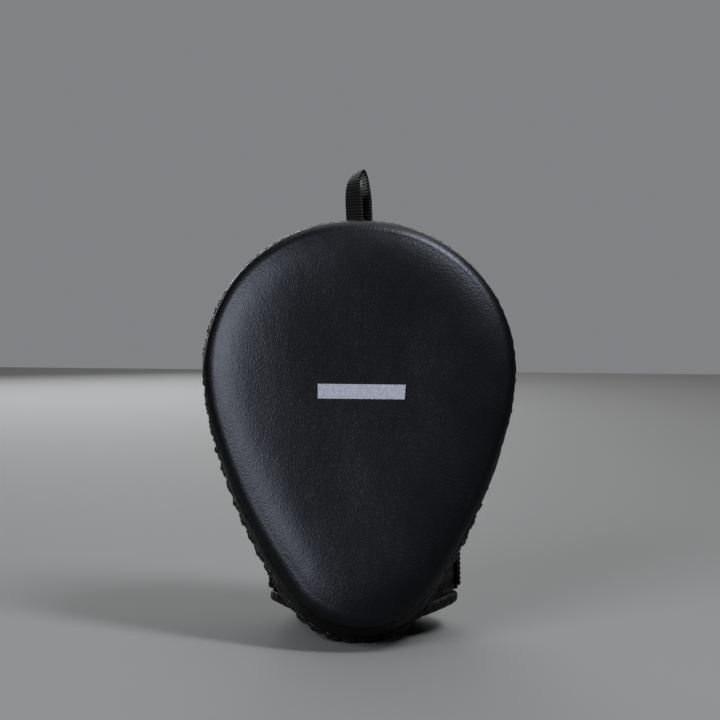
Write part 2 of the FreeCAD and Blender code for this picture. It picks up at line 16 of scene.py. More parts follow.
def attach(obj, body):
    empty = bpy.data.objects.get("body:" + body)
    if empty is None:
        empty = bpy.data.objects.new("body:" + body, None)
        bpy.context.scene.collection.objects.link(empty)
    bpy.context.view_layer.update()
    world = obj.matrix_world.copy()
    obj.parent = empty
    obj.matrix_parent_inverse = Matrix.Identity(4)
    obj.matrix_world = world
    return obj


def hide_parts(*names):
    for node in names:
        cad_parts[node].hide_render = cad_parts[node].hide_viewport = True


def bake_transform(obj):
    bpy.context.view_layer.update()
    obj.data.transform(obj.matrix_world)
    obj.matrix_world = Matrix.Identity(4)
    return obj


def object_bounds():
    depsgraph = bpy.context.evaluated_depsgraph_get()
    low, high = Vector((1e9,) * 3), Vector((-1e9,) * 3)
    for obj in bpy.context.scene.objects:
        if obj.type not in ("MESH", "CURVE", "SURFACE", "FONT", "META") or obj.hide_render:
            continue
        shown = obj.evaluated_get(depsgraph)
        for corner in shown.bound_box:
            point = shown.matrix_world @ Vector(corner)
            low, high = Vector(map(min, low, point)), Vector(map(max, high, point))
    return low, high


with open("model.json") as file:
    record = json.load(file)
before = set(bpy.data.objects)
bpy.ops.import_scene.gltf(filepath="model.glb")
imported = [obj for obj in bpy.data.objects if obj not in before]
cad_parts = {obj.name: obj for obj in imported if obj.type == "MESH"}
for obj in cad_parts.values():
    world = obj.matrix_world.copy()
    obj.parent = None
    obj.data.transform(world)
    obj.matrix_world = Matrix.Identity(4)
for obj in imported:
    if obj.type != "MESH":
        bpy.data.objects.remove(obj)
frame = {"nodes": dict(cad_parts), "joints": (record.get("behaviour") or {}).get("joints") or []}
CAD_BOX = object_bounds()
MM = 0.001

# ---------------------------------------------------------------- sizes, as in the CAD model

PAD_HEIGHT = 264.0
PAD_MIDDLE = PAD_HEIGHT / 2
CROWN_RADIUS = 112.0
SHOULDER_RADIUS = 91.4
SHOULDER_OFFSET = 4.0
FLANK_RADIUS = 355.0
TIP_RADIUS = 49.0
END_SLOPE = 0.172
FACE_CURVE = 743.0
PAD_DEPTH = 42.0
RIM_RADIUS = 10.0
SEAM_DEPTH = 7.0
TAPE_WIDE = 8.0
TAPE_PROUD = 1.6
MARK_WIDE, MARK_TALL, MARK_HEIGHT = 53.0, 9.0, 149.5
LEAN = radians(17)

HOOD_WIDE, HOOD_RISE, HOOD_LENGTH = 55.0, 47.0, 106.0
HOOD_FOOT, HOOD_CENTRE = 112.0, 2.0
HOOD_WALL = 10.3
CUFF_WIDE, CUFF_DEEP, CUFF_CENTRE, CUFF_ASIDE = 57.5, 40.0, 24.0, 4.0
CUFF_TOP, CUFF_WALL, LINING = 78.0, 9.3, 0.8
RIM_ARCH, ARCH_BACK, ARCH_DROP = 77.0, 34.6, 46.9
EDGE_TAPE = 7.0
STRAP_LOW, STRAP_WIDE, STRAP_THICK, STRAP_LIFT = 37.6, 33.0, 2.0, 1.7
STRAP_MIDDLE = STRAP_LOW + STRAP_WIDE / 2
STRAP_TOP = STRAP_LIFT + STRAP_THICK
THUMB_ROOT = (-56.0, 17.5, 94.0)
THUMB_BASE, THUMB_END, THUMB_REACH, THUMB_SPLAY = 16.5, 11.5, 32.0, radians(30)
BALL_HEIGHT, BALL_WIDE, BALL_TALL, BALL_RISE = 96.0, 27.0, 21.0, 17.0
PALM_HEIGHT, PALM_WIDE, PALM_TALL = 112.0, 30.0, 44.0
WEB_WIDE, WEB_THICK, WEB_ASIDE, WEB_TAIL = 12.5, 1.5, 0.0, 26.0

AROUND = 900                    # points round the pad's outline
BACK_CURVE = FACE_CURVE + PAD_DEPTH
PAD_INSIDE = (0, -20, 132)      # points that tell a surface's inside from its outside
HOOD_INSIDE = (0, 5, 140)


def layer(height, depth):
    """Y of the dished layer that lies so deep behind the striking face."""
    return np.sqrt((FACE_CURVE + depth) ** 2 - (height - PAD_MIDDLE) ** 2) - BACK_CURVE


def back(height):
    """Y of the back panel's outer surface."""
    return layer(height, PAD_DEPTH)


def over_back(x, z, lift):
    """Points so far off the back panel."""
    return np.stack((x, back(z) + lift, z), -1)


def outside_pad(x, y, z, sunk=0.4):
    """Points that go no deeper than sunk into the back panel."""
    return np.stack(np.broadcast_arrays(x, np.maximum(y, back(z) - sunk), z), -1)


CROWN_BACK = float(back(PAD_HEIGHT))
CROWN_HEIGHT = PAD_HEIGHT + END_SLOPE * CROWN_BACK
LOOP_HINGE = np.array([WEB_ASIDE, CROWN_BACK + WEB_THICK, CROWN_HEIGHT + TAPE_PROUD + 0.9])
CROWN_LEAN = asin(PAD_MIDDLE / BACK_CURVE)

joints = {joint["name"]: joint for joint in frame["joints"]}
TURN = np.array(Matrix.Rotation(-LEAN, 3, "X"))
SHIFT = np.array(joints["loop_swing"]["pos_m"]) / MM - TURN @ LOOP_HINGE


def stand(points):
    """Points of the pad's own axes, leaned back into the frame, in metres and never under the floor."""
    placed = (np.asarray(points, float) @ TURN.T + SHIFT) * MM
    placed[..., 2] = np.maximum(placed[..., 2], 0.0001)
    return placed


# ---------------------------------------------------------------- outline of the pad


def half_outline(tip_height, crown_height, count):
    """The right half of the egg, from the tip to the crown: points and outward directions."""
    crown = np.array([0.0, crown_height - CROWN_RADIUS])
    drop = CROWN_RADIUS - SHOULDER_RADIUS
    shoulder = crown + [SHOULDER_OFFSET, sqrt(drop ** 2 - SHOULDER_OFFSET ** 2)]
    tip = np.array([0.0, tip_height + TIP_RADIUS])
    line = tip - shoulder
    span = np.linalg.norm(line)
    near, far = FLANK_RADIUS - SHOULDER_RADIUS, FLANK_RADIUS - TIP_RADIUS
    along = (near ** 2 - far ** 2 + span ** 2) / (2 * span)
    across = sqrt(near ** 2 - along ** 2)
    unit = line / span
    flank = shoulder + unit * along + np.array([unit[1], -unit[0]]) * across

    def bearing(start, end):
        return atan2(end[1] - start[1], end[0] - start[0])

    low, high, top = bearing(flank, tip), bearing(flank, shoulder), bearing(crown, shoulder)
    arcs = [(tip, TIP_RADIUS, -pi / 2, low), (flank, FLANK_RADIUS, low, high),
            (shoulder, SHOULDER_RADIUS, high, top), (crown, CROWN_RADIUS, top, pi / 2)]
    lengths = np.array([radius * (end - start) for centre, radius, start, end in arcs])
    reached = np.concatenate(([0.0], np.cumsum(lengths)))
    places = np.linspace(0, reached[-1], count)
    which = np.clip(np.searchsorted(reached, places, side="right") - 1, 0, 3)
    points, outward = np.zeros((count, 2)), np.zeros((count, 2))
    for index, (place, arc) in enumerate(zip(places, which)):
        centre, radius, start, end = arcs[arc]
        angle = start + (place - reached[arc]) / radius
        outward[index] = cos(angle), sin(angle)
        points[index] = centre + radius * outward[index]
    return points, outward


def whole_outline(in_front):
    """The closed outline on a plane so far in front of the back panel, anticlockwise from the tip."""
    shift = END_SLOPE * in_front
    points, outward = half_outline(shift, PAD_HEIGHT - shift, AROUND // 2 + 1)
    mirror = np.array([-1.0, 1.0])
    return [np.vstack([half, half[-2::-1] * mirror]) for half in (points, outward)]


def run_along(points):
    """The length run along a line of points, from 0 at its start."""
    return np.concatenate(([0.0], np.cumsum(np.linalg.norm(np.diff(points, axis=0), axis=1))))


FRONT_PLANE, BACK_PLANE = 80.0, -25.0
FRONT_OUTLINE, OUTWARD = whole_outline(FRONT_PLANE)
BACK_OUTLINE, _ = whole_outline(BACK_PLANE)
GIRTH = run_along(BACK_OUTLINE)
SHARE = GIRTH / GIRTH[-1]   # 0 at the tip, 0.5 at the crown, 1 at the tip again


def wall(depth, proud):
    """A ring round the pad, so deep behind the face and so far proud of the side wall."""
    depth = np.broadcast_to(depth, SHARE.shape)
    reach = np.broadcast_to(proud, SHARE.shape)[:, None] * OUTWARD
    y = layer(PAD_MIDDLE, depth)
    for _ in range(4):
        blend = ((y + FRONT_PLANE) / (FRONT_PLANE - BACK_PLANE))[:, None]
        flat = FRONT_OUTLINE + (BACK_OUTLINE - FRONT_OUTLINE) * blend + reach
        y = layer(flat[:, 1], depth)
    return np.column_stack((flat[:, 0], y, flat[:, 1]))


WAVE_COUNT = 7


def waves(seed, coordinates, size):
    """A smooth random surface of about unit height, whose bumps are about as large as size."""
    random = np.random.default_rng(seed)
    total = 0.0
    for _ in range(WAVE_COUNT):
        direction = random.normal(size=len(coordinates))
        direction /= np.linalg.norm(direction)
        pitch = size * random.uniform(0.7, 1.6)
        run = sum(axis * part for axis, part in zip(coordinates, direction))
        total = total + np.sin(2 * pi * run / pitch + random.uniform(0, 2 * pi))
    return total / sqrt(WAVE_COUNT)


def smooth(value, low, high):
    """0 up to low, 1 from high on, and an even rise between them."""
    t = np.clip((value - low) / (high - low), 0, 1)
    return t * t * (3 - 2 * t)


# ---------------------------------------------------------------- making meshes


def show(name, data):
    """A new object in the scene."""
    thing = bpy.data.objects.new(name, data)
    bpy.context.scene.collection.objects.link(thing)
    return thing


def build(name, grids, finish, inside=None, closed=False, inward=False):
    """One piece from grids of points. Each grid is (points, uv), uv in metres, and neighbours are welded.
    A closed piece is turned outwards by itself, an open one away from the point inside, or towards it."""
    vertices, faces, uvs = [], [], []
    for points, uv in grids:
        start, (rows, columns) = len(vertices), points.shape[:2]
        vertices.extend(stand(points).reshape(-1, 3).tolist())
        flat_uv = uv.reshape(-1, 2)
        for row in range(rows - 1):
            for column in range(columns - 1):
                corner = row * columns + column
                quad = (corner, corner + 1, corner + columns + 1, corner + columns)
                faces.append([start + index for index in quad])
                uvs.extend(flat_uv[index] for index in quad)
    mesh = bpy.data.meshes.new(name)
    mesh.from_pydata(vertices, [], faces)
    mesh.uv_layers.new(name="surface").data.foreach_set("uv", np.array(uvs, float).ravel())
    shape = bmesh.new()
    shape.from_mesh(mesh)
    bmesh.ops.remove_doubles(shape, verts=shape.verts, dist=0.005 * MM)
    if closed:
        bmesh.ops.recalc_face_normals(shape, faces=shape.faces)
    else:
        centre = Vector(stand(inside))
        facing = sum(face.normal.dot(face.calc_center_median() - centre) * face.calc_area()
                     for face in shape.faces)
        if facing < 0:
            bmesh.ops.reverse_faces(shape, faces=shape.faces)
    shape.to_mesh(mesh)
    shape.free()
    if inward:
        mesh.flip_normals()
    mesh.shade_smooth()
    mesh.materials.append(finish)
    return show(name, mesh)


def settle(piece, body, slot, *nodes, padded=None):
    """Puts a finished piece in its body and hides the CAD nodes that it stands for."""
    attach(piece, body)
    if nodes:
        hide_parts(*nodes)


def dress(name, grids, finish, body, slot, *nodes, padded=None, **shape):
    """Builds a piece and settles it."""
    settle(build(name, grids, finish, **shape), body, slot, *nodes, padded=padded)


def bend(piece, first, last, start, end, slot, *nodes):
    """Bakes a piece of webbing in place and hides the CAD nodes that it stands for; it is not attached to a
    body and is given no bend. first, last and slot are not used, and start and end have no effect.
    """
    tuple(stand(start))
    tuple(stand(end))
    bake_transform(piece)
    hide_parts(*nodes)


def plan_uv(points):
    """Texture places seen straight from the front."""
    return points[..., (0, 2)] * MM


def length_uv(rows, columns):
    """Texture places from the lengths run along rows and columns, in millimetres."""
    first, second = np.meshgrid(np.asarray(columns, float), np.asarray(rows, float))
    return np.stack((first, second), -1) * MM


FILL_PRESSURE, FILL_STEPS = 4.0, 16


def fill(piece, sewn, slack, most):
    """Lets a leather piece swell over its foam and pucker beside its seams. sewn gives 1 where points are
    held by stitches and 0 where they are free. most is the furthest that a point may go, in millimetres."""
    mesh = piece.data
    rest = np.empty(len(mesh.vertices) * 3)
    mesh.vertices.foreach_get("co", rest)
    rest = rest.reshape(-1, 3)
    held = sewn((rest / MM - SHIFT) @ TURN)
    group = piece.vertex_groups.new(name="sewn")
    for index, weight in enumerate(held):
        if weight > 0.02:
            group.add([index], float(weight), "REPLACE")
    filling = piece.modifiers.new("filling", "CLOTH")
    settings = filling.settings
    settings.vertex_group_mass = "sewn"
    settings.quality = 5
    settings.use_pressure, settings.uniform_pressure_force = True, FILL_PRESSURE
    settings.shrink_min = -slack
    settings.tension_stiffness = settings.compression_stiffness = 12
    settings.bending_stiffness = 0.3
    settings.effector_weights.gravity = 0
    filling.collision_settings.use_collision = False
    for step in range(1, FILL_STEPS + 1):
        bpy.context.scene.frame_set(step)
    swollen = np.empty(len(mesh.vertices) * 3)
    piece.evaluated_get(bpy.context.evaluated_depsgraph_get()).data.vertices.foreach_get("co", swollen)
    move = swollen.reshape(-1, 3) - rest
    length = np.linalg.norm(move, axis=1, keepdims=True) + 1e-9
    move *= np.tanh(length / (most * MM)) * most * MM / length
    piece.modifiers.remove(filling)
    piece.vertex_groups.clear()
    mesh.vertices.foreach_set("co", (rest + move * (1 - held[:, None])).ravel())
    mesh.update()
    bpy.context.scene.frame_set(1)


# ---------------------------------------------------------------- finishes


class Nodes:
    """A node tree to be filled. Node kinds may leave out the tree's own prefix."""

    def __init__(self, tree, prefix):
        self.tree, self.prefix = tree, prefix

    def node(self, kind, inputs=(), **settings):
        """A new node, each of whose inputs is a value or another node's socket."""
        made = self.tree.nodes.new(kind if "Node" in kind else self.prefix + kind)
        for name, value in settings.items():
            setattr(made, name, value)
        for socket, value in dict(inputs).items():
            if isinstance(value, bpy.types.NodeSocket):
                self.tree.links.new(value, made.inputs[socket])
            else:
                made.inputs[socket].default_value = value
        return made

    def out(self, kind, inputs=(), socket=0, **settings):
        """An output of a new node."""
        return self.node(kind, inputs, **settings).outputs[socket]


class Finish(Nodes):
    """A node material built up from a Principled BSDF."""

    def __init__(self, name, colour, roughness, **sockets):
        self.material = bpy.data.materials.new(name)
        self.material.use_nodes = True
        super().__init__(self.material.node_tree, "ShaderNode")
        self.surface = self.tree.nodes["Principled BSDF"].inputs
        self.surface["Base Color"].default_value = (*colour, 1)
        self.surface["Roughness"].default_value = roughness
        for socket, value in sockets.items():
            self.surface[socket.replace("_", " ")].default_value = value
        self.material.diffuse_color = (*colour, 1)

    def place(self, scale=(1, 1, 1), source="UV"):
        """Texture places in metres, stretched by scale."""
        return self.out("Mapping", {"Vector": self.out("TexCoord", socket=source), "Scale": scale})

    def warped(self, where, pitch, amount):
        """Texture places pushed about by soft noise."""
        push = self.out("TexNoise", {"Vector": where, "Scale": pitch, "Detail": 2.0}, "Color")
        centred = self.out("VectorMath", {0: push, 1: (0.5, 0.5, 0.5)}, operation="SUBTRACT")
        scaled = self.out("VectorMath", {0: centred, "Scale": amount}, operation="SCALE")
        return self.out("VectorMath", {0: where, 1: scaled}, operation="ADD")

    def grain(self, stretch):
        """Places of leather grain, pushed about at two sizes so that its pebbles are never alike."""
        return self.warped(self.warped(self.place((1, stretch, 1)), 260, 0.0016), 70, 0.0040)

    def noise(self, where, scale, detail=3.0, rough=0.5):
        return self.out("TexNoise", {"Vector": where, "Scale": scale, "Detail": detail, "Roughness": rough})

    def cells(self, where, scale, feature="DISTANCE_TO_EDGE"):
        return self.out("TexVoronoi", {"Vector": where, "Scale": scale}, "Distance", feature=feature)

    def bands(self, where, pitch, axis, distortion=0.0):
        """Ridges so many millimetres apart, the first one at zero."""
        return self.out("TexWave", {"Vector": where, "Scale": 100 * pi / pitch, "Distortion": distortion,
                                    "Phase Offset": pi}, "Fac", bands_direction=axis)

    def span(self, value, low, high, to_low=0.0, to_high=1.0, kind="LINEAR"):
        """The stretch of value from low to high, laid out from to_low to to_high."""
        return self.out("MapRange", {"Value": value, "From Min": low, "From Max": high, "To Min": to_low,
                                     "To Max": to_high}, interpolation_type=kind)

    def sum(self, first, second, operation="ADD"):
        return self.out("Math", {0: first, 1: second}, operation=operation)

    def times(self, first, second):
        return self.sum(first, second, "MULTIPLY")

    def tint(self, factor, low, high):
        """Base colour from low to high as factor goes from 0 to 1."""
        mixed = self.out("Mix", {0: factor, 6: (*low, 1), 7: (*high, 1)}, 2, data_type="RGBA")
        self.tree.links.new(mixed, self.surface["Base Color"])

    def roughen(self, value, low, high):
        self.tree.links.new(self.span(value, 0, 1, low, high), self.surface["Roughness"])

    def emboss(self, height, depth_mm, under=None):
        """Bump of so many millimetres, on top of an earlier one."""
        inputs = {"Height": height, "Distance": depth_mm * MM, "Strength": 1.0}
        if under is not None:
            inputs["Normal"] = under
        bump = self.out("Bump", inputs)
        self.tree.links.new(bump, self.surface["Normal"])
        return bump


# A colour scaled by share: the darker or lighter colour of painted shade and painted light.
def light_and_shade_colour(colour, share):
    return [part * share for part in colour]


def grained_leather(name, colour, roughness, pitch=1.6, stretch=0.62, depth=0.054, **sockets):
    """Coated leather: soft pebbles longer than wide, fine creases between them and slow changes of gloss."""
    finish = Finish(name, colour, roughness, **sockets)
    where = finish.grain(stretch)
    pebbles = finish.span(finish.cells(where, 1000 / pitch), 0.0, 0.40, kind="SMOOTHSTEP")
    fine = finish.span(finish.cells(where, 1000 / (pitch * 0.6)), 0.0, 0.45, kind="SMOOTHSTEP")
    patchy = finish.noise(where, 30, 4.0, 0.6)
    height = finish.sum(pebbles, finish.times(fine, 0.35))
    drape = finish.emboss(finish.noise(finish.place((1, 0.5, 1)), 60, 2.0), 0.28)
    finish.emboss(finish.times(height, finish.span(patchy, 0.3, 0.7, 0.6, 1.05)), depth, drape)
    finish.roughen(patchy, roughness - 0.05, roughness + 0.06)
    # Painted shade: the base colour is halved in the creases between the pebbles.
    finish.tint(pebbles, light_and_shade_colour(colour, 0.5), colour)
    return finish.material


def woven(name, colour, roughness, rib, across, depth):
    """Ribbed narrow webbing: ribs one way and a fine thread the other way."""
    finish = Finish(name, colour, roughness, Specular_IOR_Level=0.3)
    where = finish.place()
    ribs = finish.bands(where, rib, "Y")
    threads = finish.bands(where, across, "X", 0.6)
    finish.emboss(finish.sum(finish.times(ribs, 0.6), finish.times(threads, 0.4)), depth)
    # Painted light and shade: the base colour is brighter on the rib tops and much darker in the grooves
    # between ribs and threads.
    painted_rib_light_and_shade = finish.times(ribs, finish.sum(threads, 0.6, "MAXIMUM"))
    finish.tint(painted_rib_light_and_shade, light_and_shade_colour(colour, 0.12), light_and_shade_colour(colour, 1.7))
    return finish.material


def cloth(name, colour, roughness, pitch, depth, source="UV", **sockets):
    """Knit or brushed cloth."""
    finish = Finish(name, colour, roughness, **sockets)
    where = finish.warped(finish.place(source=source), 300, 0.0006)
    loops = finish.span(finish.cells(where, 1000 / pitch, "F1"), 0.1, 0.7, 1.0, 0.0)
    finish.emboss(loops, depth)
    # Partly painted shade: the base colour is darker in the low gaps between the loops. This is multiplied by
    # a random patchy tone.
    finish.tint(finish.times(loops, finish.noise(where, 60)), light_and_shade_colour(colour, 0.5), colour)
    return finish.material


def foam(name, colour):
    """Cut foam with open cells."""
    finish = Finish(name, colour, 0.95)
    pores = finish.span(finish.cells(finish.place(source="Object"), 900, "F1"), 0.0, 0.6)
    finish.emboss(pores, 0.3)
    # Painted shade: the base colour is darker in the pits of the pores.
    finish.tint(pores, light_and_shade_colour(colour, 0.6), colour)
    return finish.material


def printed_grey():
    """Matt grey print that follows the leather's grain: painted shade makes it darker in its creases, with a
    random patchy tone.
    """
    # thin is the darker grey of the painted shade in the creases.
    full, thin = (0.45, 0.48, 0.57), (0.33, 0.35, 0.42)
    finish = Finish("printed_grey", full, 0.5)
    where = finish.grain(0.5)
    pebbles = finish.span(finish.cells(where, 1000 / 1.3), 0.0, 0.22, kind="SMOOTHSTEP")
    finish.emboss(pebbles, 0.04)
    crease_shade_and_patches = finish.times(pebbles, finish.span(finish.noise(where, 240, 4.0), 0.3, 0.7, 0.8, 1.0))
    # Painted shade: the grey is darker in the creases, times a random patchy tone.
    finish.tint(crease_shade_and_patches, thin, full)
    return finish.material


PAD_BLACK = (0.0024, 0.0026, 0.0031)
COOL_SHEEN = (0.80, 0.84, 1.0, 1.0)
FACE_LEATHER = grained_leather("face_leather", PAD_BLACK, 0.36, Specular_Tint=COOL_SHEEN)
SIDE_LEATHER = grained_leather("side_leather", PAD_BLACK, 0.5, stretch=0.7, Specular_IOR_Level=0.22)
GLOVE_LEATHER = grained_leather("glove_leather", (0.005, 0.005, 0.0056), 0.42, stretch=0.8,
                                Specular_IOR_Level=0.35)
TAPE_LEATHER = grained_leather("edge_tape_leather", (0.0045, 0.0045, 0.005), 0.36, 1.0, 0.8, 0.04,
                               Specular_IOR_Level=0.35)
WEBBING = woven("ribbed_webbing", (0.0072, 0.0074, 0.0082), 0.5, 1.9, 0.7, 0.4)
STRAP_WEAVE = woven("strap_webbing", (0.0075, 0.0075, 0.0085), 0.55, 1.5, 1.1, 0.2)
SUEDE = cloth("suede", (0.035, 0.034, 0.036), 0.92, 0.5, 0.08, Sheen_Weight=0.4)
LINING_KNIT = cloth("lining_knit", (0.030, 0.030, 0.033), 0.9, 1.1, 0.12)
MESH_KNIT = cloth("spacer_mesh", (0.016, 0.016, 0.018), 0.7, 1.2, 0.25)
# Painted shade: a near-black, fully rough sheet laid where the mesh's holes are, standing for the shade
# inside them.
MESH_SHADE = Finish("mesh_openings", (0.0015, 0.0015, 0.0017), 1.0, Specular_IOR_Level=0.0).material
PILE = cloth("loop_pile", (0.017, 0.017, 0.019), 0.95, 0.45, 0.25, Sheen_Weight=0.5)
HOOKS = cloth("moulded_hooks", (0.022, 0.022, 0.024), 0.5, 0.8, 0.3)
THREAD = cloth("sewing_thread", (0.030, 0.031, 0.035), 0.55, 0.3, 0.05, "Object")
HARD_FOAM = foam("hard_foam", (0.05, 0.05, 0.055))
SOFT_FOAM = foam("soft_foam", (0.65, 0.60, 0.42))
PRINT_GREY = printed_grey()

# ---------------------------------------------------------------- stitches, eyelets and piping


class Tree(Nodes):
    """A Geometry Nodes tree with a geometry input, named sizes and a geometry output."""

    def __init__(self, name, **sizes):
        super().__init__(bpy.data.node_groups.new(name, "GeometryNodeTree"), "GeometryNode")
        face = self.tree.interface
        for way in ("INPUT", "OUTPUT"):
            face.new_socket("Geometry", in_out=way, socket_type="NodeSocketGeometry")
        for size, value in sizes.items():
            face.new_socket(size, in_out="INPUT", socket_type="NodeSocketFloat").default_value = value
        self.given = self.node("NodeGroupInput").outputs
        self.result = self.node("NodeGroupOutput").inputs[0]

    def end(self, geometry, finish):
        """Realize Instances and Set Material, which close every tree."""
        real = self.out("RealizeInstances", {"Geometry": geometry})
        dressed = self.out("SetMaterial", {"Geometry": real, "Material": finish})
        self.tree.links.new(self.out("SetShadeSmooth", {"Geometry": dressed}), self.result)
        return self.tree


def grown(name, mesh, group, body, slot, **sizes):
    """A settled piece of plain mesh: the result of a Geometry Nodes tree on mesh."""
    carrier = show(name, mesh)
    modifier = carrier.modifiers.new(name, "NODES")
    modifier.node_group = group
    for item in group.interface.items_tree:
        if item.in_out == "INPUT" and item.name in sizes:
            modifier[item.identifier] = sizes[item.name]
    carrier.update_tag()
    bpy.context.view_layer.update()
    evaluated = carrier.evaluated_get(bpy.context.evaluated_depsgraph_get())
    result = bpy.data.meshes.new_from_object(evaluated)
    carrier.modifiers.clear()
    carrier.data = result
    settle(carrier, body, slot)


def stitch_tree():
    """Thread stitches laid end to end along lines."""
    tree = Tree("stitches", pitch=3.0 * MM, length=2.2 * MM, thread=0.42 * MM)
    lines = tree.out("MeshToCurve", {"Mesh": tree.given[0]})
    pitch = tree.given["pitch"]
    points = tree.node("CurveToPoints", {"Curve": lines, "Length": pitch}, mode="LENGTH").outputs
    turn = tree.out("FunctionNodeAlignRotationToVector", {"Vector": points["Tangent"]}, axis="Z")
    bead = tree.out("MeshUVSphere", {"Segments": 6, "Rings": 5, "Radius": 1.0})
    half = tree.out("ShaderNodeMath", {0: tree.given["length"], 1: 0.5}, operation="MULTIPLY")
    thread = tree.given["thread"]
    scale = tree.out("ShaderNodeCombineXYZ", {"X": thread, "Y": thread, "Z": half})
    laid = tree.out("InstanceOnPoints",
                    {"Points": points["Points"], "Instance": bead, "Rotation": turn, "Scale": scale})
    return tree.end(laid, THREAD)


def piping_tree():
    """A round cord along lines."""
    tree = Tree("piping", radius=1.3 * MM)
    lines = tree.out("MeshToCurve", {"Mesh": tree.given[0]})
    ring = tree.out("CurvePrimitiveCircle", {"Resolution": 10, "Radius": tree.given["radius"]})
    cord = tree.out("CurveToMesh", {"Curve": lines, "Profile Curve": ring, "Fill Caps": True})
    return tree.end(cord, TAPE_LEATHER)


def eyelet_tree(finish, name, shape):
    """A small ring or disc on each point, turned to the point's "facing" direction."""
    tree = Tree(name, radius=1.0 * MM, rim=0.3 * MM)
    facing = tree.out("InputNamedAttribute", {"Name": "facing"}, data_type="FLOAT_VECTOR")
    turn = tree.out("FunctionNodeAlignRotationToVector", {"Vector": facing}, axis="Z")
    if shape == "ring":
        loop = tree.out("CurvePrimitiveCircle", {"Resolution": 10, "Radius": tree.given["radius"]})
        wire = tree.out("CurvePrimitiveCircle", {"Resolution": 4, "Radius": tree.given["rim"]})
        form = tree.out("CurveToMesh", {"Curve": loop, "Profile Curve": wire})
    else:
        # The disc: a flat sheet of painted shade that stands for a hole through the mesh.
        form = tree.out("MeshCircle", {"Vertices": 10, "Radius": tree.given["radius"]}, fill_type="NGON")
    laid = tree.out("InstanceOnPoints", {"Points": tree.given[0], "Instance": form, "Rotation": turn})
    return tree.end(laid, finish)


def line_mesh(name, lines):
    """Loose polylines, each an array of points of the pad's own axes."""
    vertices, edges = [], []
    for line in lines:
        start = len(vertices)
        vertices.extend(stand(line).tolist())
        edges.extend((start + index, start + index + 1) for index in range(len(line) - 1))
    mesh = bpy.data.meshes.new(name)
    mesh.from_pydata(vertices, edges, [])
    return mesh


STITCHES = stitch_tree()
PIPING = piping_tree()
# Rims round the mesh's holes, and discs of painted shade that stand for the holes.
EYELETS = {"mesh_eyelets": eyelet_tree(MESH_KNIT, "eyelets", "ring"),
           "mesh_openings": eyelet_tree(MESH_SHADE, "openings", "disc")}
stitch_lines = {"mitt": [], "strap": [], "strap_end": []}


def sew(*lines, body="mitt"):
    """Notes lines of points, to be stitched when every piece is there."""
    stitch_lines[body] += lines


# ---------------------------------------------------------------- striking pad

FACE_MIDDLE = np.array([0.0, MARK_HEIGHT])
FACE_FULL = 5.2
ROLL_START, ROLL_END, SLACK = radians(20), radians(74), 0.8
FACE_EDGE = wall(0.0, -RIM_RADIUS * (1 - sin(ROLL_START)))[:-1, (0, 2)]


def roll_depth(turn):
    """How deep the rolled rim is behind the face where it has turned so far."""
    return RIM_RADIUS * (1 - cos(turn)) + SLACK * cos(turn)


def face_puff(x, z):
    """How far the padded face stands out of its plain dish, and its slow dents."""
    edge = FACE_EDGE - FACE_MIDDLE
    bearing, reach = np.arctan2(edge[:, 1], edge[:, 0]), np.hypot(edge[:, 0], edge[:, 1])
    order = np.argsort(bearing)
    here = np.arctan2(z - FACE_MIDDLE[1], x - FACE_MIDDLE[0])
    furthest = np.interp(here, bearing[order], reach[order], period=2 * pi)
    share = np.clip(np.hypot(x - FACE_MIDDLE[0], z - FACE_MIDDLE[1]) / furthest, 0, 1)
    full = FACE_FULL * (1 - share ** (tan(ROLL_START) * furthest / FACE_FULL))
    return full - roll_depth(ROLL_START) + 0.22 * waves(5, (x, 0.5 * z), 46) * (1 - share ** 3)


def face_point(x, z, proud=0.0):
    return np.stack((x, layer(z, 0.0) - face_puff(x, z) - proud, z), -1)


def face_uv(points):
    """Texture places on the face, whose grain fans out towards the crown."""
    x, z = points[..., 0], points[..., -1]
    return np.stack((x * (1 - 0.3 * smooth(z, 150.0, 270.0)), z), -1) * MM


def face_cover():
    """Dished leather face, rolled over the rim into the side seam."""
    inner = np.vstack((FACE_EDGE, FACE_EDGE[:1]))
    rows, places = [], []
    for share in np.linspace(0, 1, 56) ** 0.9:
        flat = FACE_MIDDLE + (inner - FACE_MIDDLE) * share
        rows.append(face_point(*flat.T))
        places.append(flat)
    swell = 0.6 + 0.3 * waves(11, (GIRTH,), 60)
    tuck = 0.5 * waves(12, (GIRTH,), 8) * (0.3 + 0.7 * smooth(np.abs(SHARE - 0.5), 0.12, 0.4))
    for turn in np.linspace(ROLL_START, ROLL_END, 17)[1:]:
        low = smooth(roll_depth(turn), 2.0, SEAM_DEPTH)
        proud = swell * sin(turn) ** 3 * (1 - 0.3 * low) + tuck * low * 0.3 - RIM_RADIUS * (1 - sin(turn))
        rows.append(wall(roll_depth(turn), proud))
        places.append(inner + OUTWARD * RIM_RADIUS * (turn - ROLL_START))
    for deeper, proud in ((0.35, -0.5), (0.75, -1.3), (0.8, -2.2)):
        rows.append(wall(SEAM_DEPTH + deeper, proud))
        places.append(places[-1] + OUTWARD * 0.9)
    dress("face_leather_cover", [(np.array(rows), face_uv(np.array(places)))], FACE_LEATHER,
          "mitt", "face_leather", "strike_face_cover", padded=0.8, inside=PAD_INSIDE)


